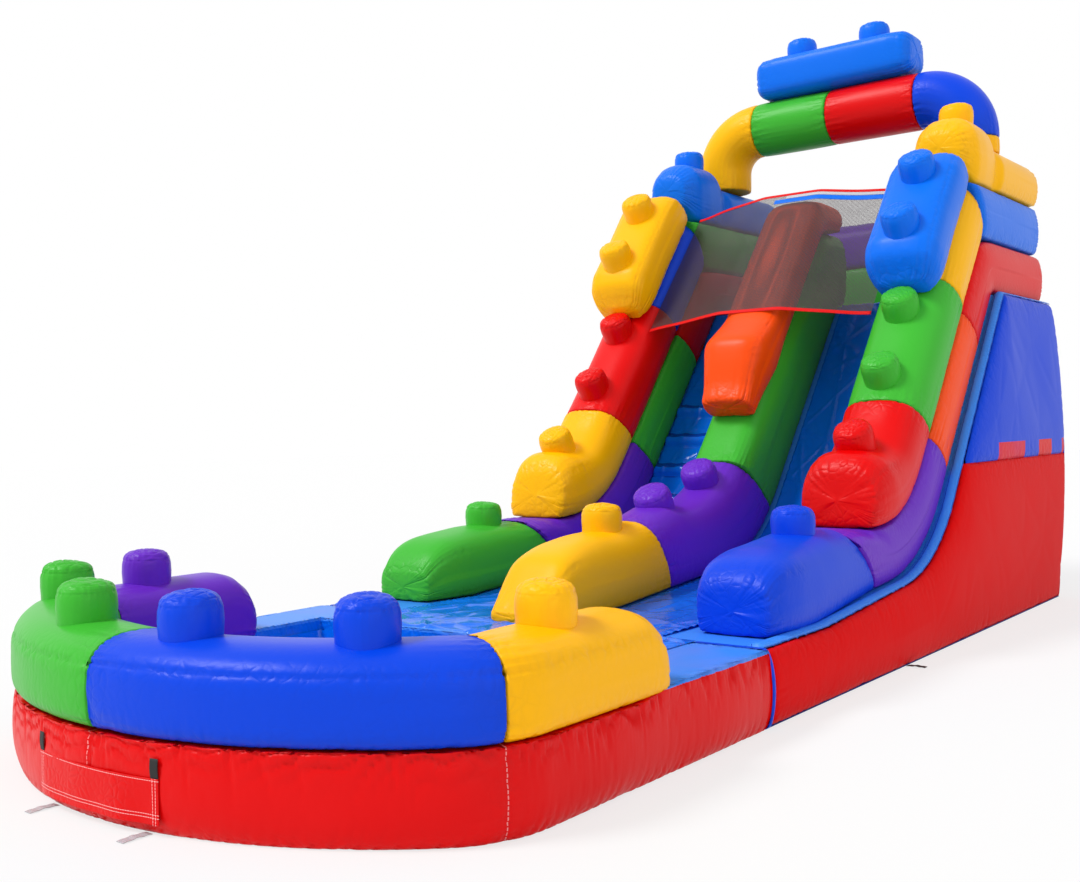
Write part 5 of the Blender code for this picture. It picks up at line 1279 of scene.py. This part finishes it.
rows, foot, _ = on_bed(5.64, 6.84, CREST_LOW, CREST_HIGH, DIVIDER_HALF, 0.02, 1, 3.2, CREST_TABLE,
                       waist=0.45)
creases = [(0.125, 0.010, -0.02, 0.45), (0.375, 0.010, -0.02, 0.45), (0.125, 0.004, 0.4, 9),
           (0.375, 0.004, 0.4, 9)]
skin("crest", [chamber_patch(rows, 630, (0.02, 0.02), foot, creases=creases, depth=0.016)],
     VINYL["orange"], ["divider_crest"])
print("divider done")

# %% The platform's rear wall and the arch
for name, tone, layer in (("lower", "green", 0), ("upper", "purple", 1)):
    low = DECK + GAP + (LAYER + GAP) * layer
    x = np.linspace(-1.035, 1.035, int(112 * FINE))
    across, up = section(0.26 + 0 * x, low + 0 * x, low + LAYER - GAP + 0 * x,
                         2.4 if layer else 0)
    rows = np.stack([x[:, None] + 0 * across, 7.89 + across, up], -1)
    skin(f"rear_wall_{name}",
         [chamber_patch(rows, 640 + layer, (0, 0), up - low, low + LAYER - up)], VINYL[tone],
         [f"back_wall_{name}"])
ARCH_Y, ARCH_Z, LEG_X, BEND = 7.40, RAIL_TOP + 0.57, 1.25, 0.40
ARCH_RADIUS = 0.26


def arch_rows(points):
    """Circles square to a path in the arch's plane, given as x and z."""
    points = np.array(points)
    run = np.concatenate([[0], np.cumsum(np.linalg.norm(np.diff(points, axis=0), axis=1))])
    even = np.linspace(0, run[-1], max(int(run[-1] / 0.020 * FINE), 6))
    at = np.stack([np.interp(even, run, points[:, 0]), np.interp(even, run, points[:, 1])], -1)
    way = np.gradient(at, axis=0)
    way = way / np.linalg.norm(way, axis=-1, keepdims=True)
    angle = 2 * pi * (np.arange(AROUND) + 0.5) / AROUND
    out = np.stack([-way[:, 1], way[:, 0]], -1)
    x = at[:, :1] + ARCH_RADIUS * out[:, :1] * np.cos(angle)
    z = at[:, 1:] + ARCH_RADIUS * out[:, 1:] * np.cos(angle)
    return np.stack([x, ARCH_Y + ARCH_RADIUS * np.sin(angle) + 0 * x, z], -1)


def elbow(side):
    """A quarter circle from the leg to the top."""
    angle = np.linspace(0, pi / 2, 24)
    return [(side * (LEG_X - BEND + BEND * cos(a)), ARCH_Z - BEND + BEND * sin(a)) for a in angle]


foot_z, top_x = RAIL_TOP - 0.01, LEG_X - BEND - 0.03
for name, tone, points, sign in (
        ("arch_left_bend", "yellow", [(-LEG_X, foot_z), *elbow(-1), (-top_x, ARCH_Z)],
         "arch_left_elbow"),
        ("arch_green_bar", "green", [(-top_x, ARCH_Z), (-0.0403, ARCH_Z)], "arch_top_left"),
        ("arch_red_bar", "red", [(-0.04, ARCH_Z), (top_x, ARCH_Z)], "arch_top_right"),
        ("arch_right_bend", "blue", [(LEG_X, ARCH_Z - BEND - 0.03), *elbow(1), (top_x, ARCH_Z)],
         "arch_right_elbow"),
        ("arch_right_leg", "yellow", [(LEG_X, foot_z), (LEG_X, ARCH_Z - BEND - 0.0303)],
         "arch_right_foot")):
    skin(name, [chamber_patch(arch_rows(points), 650 + len(name), (0, 0))], VINYL[tone], [sign])
share = np.linspace(-1, 1, int(80 * FINE))
size = np.interp(np.abs(share), [0, 0.75, 0.93, 1], [1, 1, 0.95, 0.80])
low = ARCH_Z + ARCH_RADIUS
across, up = section(0.25 * size, low + 0.20 - 0.20 * size, low + 0.20 + 0.20 * size, 4.0, 4.0)
rows = np.stack([0.77 * share[:, None] + 0 * across, ARCH_Y + across, up], -1)
studs = [stud_patch((x, ARCH_Y, low + 0.394), (0, 0, 1), STUD_HIGH, 670 + k)
         for k, x in enumerate((0.371, -0.371))]
skin("arch_brick", [chamber_patch(rows, 675, (0.02, 0.02), up - low + 0.02, creases=EDGES), *studs],
     VINYL["bright_blue"], ["arch_block"])
print("arch at", ARCH_Z)

# %% [markdown]
# ## The net
# A fine black net hangs over the upper lanes and rests on the crest. It is one sheet whose
# material lets light through between its cords, so that what lies behind shows darker. A red
# binding is sewn along its lower and upper edges, with a blue and white strip at the top.

# %% Net and bindings
NET_LOW, NET_HIGH = -0.93, 0.50


def net_grid(low, high, rows, columns, lift=0.0):
    """Rows up the slope. Across, the net lies flat on the crest, then sags to the walls on both
    sides."""
    distance = np.linspace(low, high, rows)
    share = (distance - NET_LOW) / (NET_HIGH - NET_LOW)
    edge = (1.045 - 0.020 * share)[:, None]
    across = np.linspace(-1, 1, columns)[None, :] * edge
    reach = np.clip((np.abs(across) - DIVIDER_HALF) / (edge - DIVIDER_HALF), 0, 1)
    sag = np.sin(pi * np.clip(share, 0, 1))[:, None]
    height = 0.986 + (0.84 - 0.986) * reach - 0.030 * np.sin(pi * reach) * sag
    height = height + 0.010 * waves(across, distance[:, None], 700, 0.6, 2.4, 3.0) * reach + lift
    foot, up = slope_frame(distance)
    grid = foot[:, None] + up * height[..., None]
    grid[..., 0] = across
    return soften(grid, 1, 1.5)


made, tree, shader, place, chart = new_material("net_cord")
cells = node(tree, "ShaderNodeVectorMath", operation="SCALE")
tree.links.new(chart, cells.inputs[0])
cells.inputs["Scale"].default_value = 1 / 0.011
along, over, _ = ((way.act("FRACT") < 0.40) for way in axes(tree, cells.outputs[0]))
plug(tree, along.act("MAXIMUM", over), shader.inputs["Alpha"])
spread = node(tree, "ShaderNodeTexNoise", Vector=chart, Scale=3.0)
DARK_CORD, PALE_CORD = (0.020, 0.012, 0.014, 1), (0.055, 0.03, 0.035, 1)
plug(tree, blend_colour(tree, spread.outputs["Fac"], DARK_CORD, PALE_CORD),
     shader.inputs["Base Color"])
shader.inputs["Roughness"].default_value = 0.6
NET = made
grid = net_grid(NET_LOW, NET_HIGH, int(60 * FINE), int(90 * FINE))
net = skin("net_sheet", [(grid, False, 0.0, (False, False))], NET, ["safety_net"])


RIBS = 420.0 / 6.3


def ribbon(name, distance, low_x, high_x, wide, lift, material):
    """A flat strip sewn along the net at a distance up the slope."""
    grid = net_grid(distance - wide / 2, distance + wide / 2, 6, 120, lift)
    keep = (grid[3, :, 0] >= low_x) & (grid[3, :, 0] <= high_x)
    return sheet_skin(name, grid[:, keep], 0.6, material, [])


def webbing(name, colour):
    """Woven band: fine crossing ribs over the whole surface, with painted shade a little darker
    between them.
    """
    made, tree, shader, _, chart = new_material(name)
    bands = node(tree, "ShaderNodeTexWave", Vector=chart, Scale=RIBS, Distortion=0.4)
    cross = node(tree, "ShaderNodeTexWave", bands_direction="Y", Vector=chart, Scale=RIBS)
    weave = Value(tree, bands.outputs["Fac"]) * cross.outputs["Fac"]
    base = linear(COLOURS[colour])
    # Painted shade: a darker copy of the colour for the valleys between the ribs.
    dark = tuple(0.55 * value for value in base[:3]) + (1,)
    bump = node(tree, "ShaderNodeBump", Strength=0.6, Distance=0.001, Height=weave)
    for label, value in (("Base Color", blend_colour(tree, weave, dark, base)),
                         ("Normal", bump.outputs[0]), ("Roughness", 0.6)):
        plug(tree, value, shader.inputs[label])
    return made


WEB = {colour: webbing(f"webbing_{colour}", colour) for colour in ("black", "white", "blue", "red")}
BIND = vinyl("binding_red", "red", 0.5, 40.0)
ribbon("net_low_binding", NET_LOW, -2, 2, 0.036, 0.004, BIND)
ribbon("net_high_binding", NET_HIGH - 0.01, -2, 2, 0.030, 0.004, BIND)
ribbon("net_top_strip_blue", NET_HIGH - 0.09, -0.15, 1.02, 0.050, 0.004, VINYL["bright_blue"])
ribbon("net_top_strip_white", NET_HIGH - 0.045, -0.05, 1.02, 0.035, 0.005, WEB["white"])
print("net grid", grid.shape)

# %% [markdown]
# ## Flap, straps and sleeve
# A flap with two black tabs closes the front, and it can be lifted. Milky straps lie on the ground
# before the nose, short black anchors lie beside the flanks, and a blue strap hangs at the deck.

# %% The front flap and its tabs
def nose_at(angle, radius, z):
    """A point on a cylinder about the nose's centre, with the angle from straight ahead."""
    return np.stack([radius * np.sin(angle) + 0 * z, NOSE_MIDDLE - radius * np.cos(angle) + 0 * z,
                     z + 0 * angle], -1)


def flap_paint(tree, place, base):
    """White stitches: two rows along the lower part, one along the top, and two along each end."""
    x, _, z = axes(tree, place)
    x = abs(x)
    beat, rise = ((way * 70.0).act("FRACT") > 0.25 for way in (x, z))
    low, mid, top = (between(z, height - 0.0015, height + 0.0015)
                     for height in (0.082, 0.096, 0.240))
    ends = between(x, 0.420, 0.423) + between(x, 0.437, 0.440)
    mask = ((low + mid + top) * beat + ends * rise) * 0.8
    return blend_colour(tree, mask.act("MINIMUM", 1.0), base, linear((250, 205, 205)))


half = np.arcsin(0.455 / NOSE_RADIUS)
angle, z = np.meshgrid(np.linspace(-half, half, int(160 * FINE)),
                       np.linspace(0.050, 0.2495, int(44 * FINE)))
drop = (0.25 - z) / 0.2
fold = waves(angle * 2.4, z, 720, 1.0, 4.0, 8) * 0.5 + 0.5
radius = NOSE_RADIUS + 0.0045 + 0.010 * fold * drop * np.clip((half - np.abs(angle)) / 0.01, 0.3, 1)
grid = nose_at(angle, radius, z)
if grid_normals(grid, False)[..., 1].mean() > 0:
    grid, fold = grid[:, ::-1], fold[:, ::-1]
sheet_skin("lifting_flap", grid, np.clip(0.2 + 0.5 * fold, 0, 1),
           vinyl("vinyl_flap", "red", size=22.0, paint=flap_paint), ["front_flap"], WEB_THICK,
           "front_flap")
for side, word in ((1, "right"), (-1, "left")):
    inner = side * (half - 0.045 / NOSE_RADIUS)
    angle, z = np.meshgrid(np.sort([inner, side * half])[0]
                           + np.linspace(0, 0.045 / NOSE_RADIUS, 9),
                           np.linspace(0.2506, 0.3356, 12))
    bend = 0.004 * np.sin(pi * (z - 0.2506) / 0.085)
    grid = nose_at(angle, NOSE_RADIUS + 0.0035 + bend, z)
    if grid_normals(grid, False)[..., 1].mean() > 0:
        grid = grid[:, ::-1]
    sheet_skin(f"tab_{word}", grid, 0.0, WEB["black"], [f"flap_tab_{word}"], WEB_THICK)
print("flap half angle", round(float(half), 3))


# %% Straps, anchors and the sleeve
def strap(name, body, start, end, wide, wave, material, node_name, square=(0, 0, 1.0)):
    """A flat band between two points, with a slight wave and its two thick faces."""
    start, end, square = (np.array(item, float) for item in (start, end, square))
    way = (end - start) / np.linalg.norm(end - start)
    side = np.cross(square, way)
    run = np.linspace(0, 1, 40)
    cross = np.linspace(-0.5, 0.5, 8)
    grid = (start + (end - start) * run[:, None])[:, None] + side * (wide * cross)[None, :, None]
    grid = grid + square * (wave * np.sin(pi * run)
                            * (1 + 0.4 * np.sin(5 * pi * run)))[:, None, None]
    normal = grid_normals(grid, False).mean((0, 1))
    if (normal * square).sum() < 0:
        grid = grid[:, ::-1]
    return sheet_skin(name, grid, 0.0, material, [node_name], WEB_THICK, body)


for side, word in ((1, "right"), (-1, "left")):
    low, high = (np.array(corner) + [0, MIDDLE_Y, 0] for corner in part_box(f"nose_strap_{word}"))
    strap(f"milky_strap_{word}", f"nose_strap_{word}", (side * 0.36, high[1] - 0.015, 0.0030),
          (side * 0.36, low[1], 0.0030), 0.05, 0.004, WEB["white"], f"nose_strap_{word}")
    low, high = (np.array(corner) + [0, MIDDLE_Y, 0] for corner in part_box(f"side_anchor_{word}"))
    near, far = (low[0], high[0]) if side > 0 else (high[0], low[0])
    middle = (low[1] + high[1]) / 2
    strap(f"ground_anchor_{word}", f"side_anchor_{word}", (near, middle, 0.0035),
          (far, middle, 0.0035), 0.05, 0.004, WEB["black"], f"side_anchor_{word}")
low, high = (np.array(corner) + [0, MIDDLE_Y, 0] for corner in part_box("hanging_strap"))
strap("deck_strap", "hanging_strap", (low[0] + 0.010, low[1], high[2] - 0.020),
      (high[0] - 0.004, high[1], low[2] + 0.020), 0.04, 0.010, WEB["blue"], "hanging_strap",
      (0.97, 0.0, 0.243))
run = np.linspace(0, 0.448, int(60 * FINE))
angle = 2 * pi * (np.arange(int(72 * FINE))) / int(72 * FINE)
fold = waves(angle / (2 * pi) + 0 * run[:, None], 3 * run[:, None], 740, 3, 9, 2.0)
radius = 0.104 + 0.004 * fold * np.clip(run / 0.1, 0, 1)[:, None]
radius = radius - 0.012 * np.exp(-run / 0.02)[:, None]
grid = np.stack([1.0 + radius * np.cos(angle), 8.2005 + run[:, None] + 0 * radius,
                 0.109 + radius * np.sin(angle)], -1)
if ((grid - [1.0, 8.4, 0.11]) * grid_normals(grid, True) * [1, 0, 1]).sum() < 0:
    grid = grid[:, ::-1]
pinch = np.clip(0.3 + 0.4 * fold, 0, 1)
thicken(skin("blower_sleeve", [(grid, True, pinch, (False, False))], VINYL["blue"],
             ["inflation_sleeve"]), SHEET_THICK)
inside = bpy.data.objects["body_baffle"]
inside.data.materials.clear()
inside.data.materials.append(VINYL["pale_blue"])
print("small pieces done")

# %% [markdown]

# %% [markdown]
# ## Floor, light and camera
# A plain pale floor, a soft sky and one broad lamp light the slide at a plain level. The camera
# stands where the photograph was taken, worked out from the slide's own straight edges.

# %% Floor and light
def seen_rays(tree):
    """One for rays from the camera, reflected or let through too, and zero for the others."""
    path = node(tree, "ShaderNodeLightPath").outputs
    seen = Value(tree, path["Is Camera Ray"]).act("MAXIMUM", path["Is Glossy Ray"])
    return seen.act("MAXIMUM", path["Is Transmission Ray"])


mesh = bpy.data.meshes.new("floor")
mesh.from_pydata([(-60, -60, -0.002), (60, -60, -0.002), (60, 60, -0.002), (-60, 60, -0.002)], [],
                 [(0, 1, 2, 3)])
floor = bpy.data.objects.new("floor", mesh)
bpy.context.scene.collection.objects.link(floor)
made, tree, shader, place, chart = new_material("pale_floor")
shader.inputs["Base Color"].default_value = (0.80, 0.80, 0.80, 1)
shader.inputs["Roughness"].default_value = 0.9
glow = node(tree, "ShaderNodeEmission", Color=(1, 1, 1, 1), Strength=1.0)
mix = tree.nodes.new("ShaderNodeMixShader")
for socket, value in zip(mix.inputs, (seen_rays(tree) * 0.72, shader.outputs[0], glow.outputs[0])):
    plug(tree, value, socket)
plug(tree, mix.outputs[0], tree.nodes["Material Output"].inputs["Surface"])
mesh.materials.append(made)
world = bpy.data.worlds.new("soft sky")
bpy.context.scene.world = world
world.use_nodes = True
tree = world.node_tree
back = tree.nodes["Background"]
plug(tree, seen_rays(tree).act("MULTIPLY_ADD", 0.35, 0.65), back.inputs["Strength"])
back.inputs["Color"].default_value = (1, 1, 1, 1)
for name, energy, size, turn in (("sun", 2.1, 18, (38, -14, -20)), ("fill", 0.5, 60, (70, 0, 70))):
    lamp = bpy.data.lights.new(name, "SUN")
    lamp.energy = energy
    lamp.angle = radians(size)
    item = bpy.data.objects.new(name, lamp)
    item.rotation_euler = [radians(value) for value in turn]
    bpy.context.scene.collection.objects.link(item)
print("lights set")

# %% Camera
from mathutils import Matrix, Vector
yaw, pitch, roll = radians(37.567), radians(-0.625), radians(-1.320)
ahead = Vector((-sin(yaw) * cos(pitch), cos(yaw) * cos(pitch), sin(pitch)))
right = Vector((cos(yaw), sin(yaw), 0))
above = right.cross(ahead)
level = cos(roll) * right + sin(roll) * above
upward = -sin(roll) * right + cos(roll) * above
lens = bpy.data.cameras.new("camera")
lens.lens = 36 * 1219.735 / 1080
lens.sensor_width = 36
camera = bpy.data.objects.new("camera", lens)
place = Vector((4.88293, -3.82227 - MIDDLE_Y, 1.69596))
camera.matrix_world = Matrix((level, upward, -ahead)).transposed().to_4x4()
camera.location = place
bpy.context.scene.collection.objects.link(camera)
bpy.context.scene.camera = camera
bpy.context.scene.view_settings.view_transform = "Standard"
print("camera at", tuple(round(value, 3) for value in place))
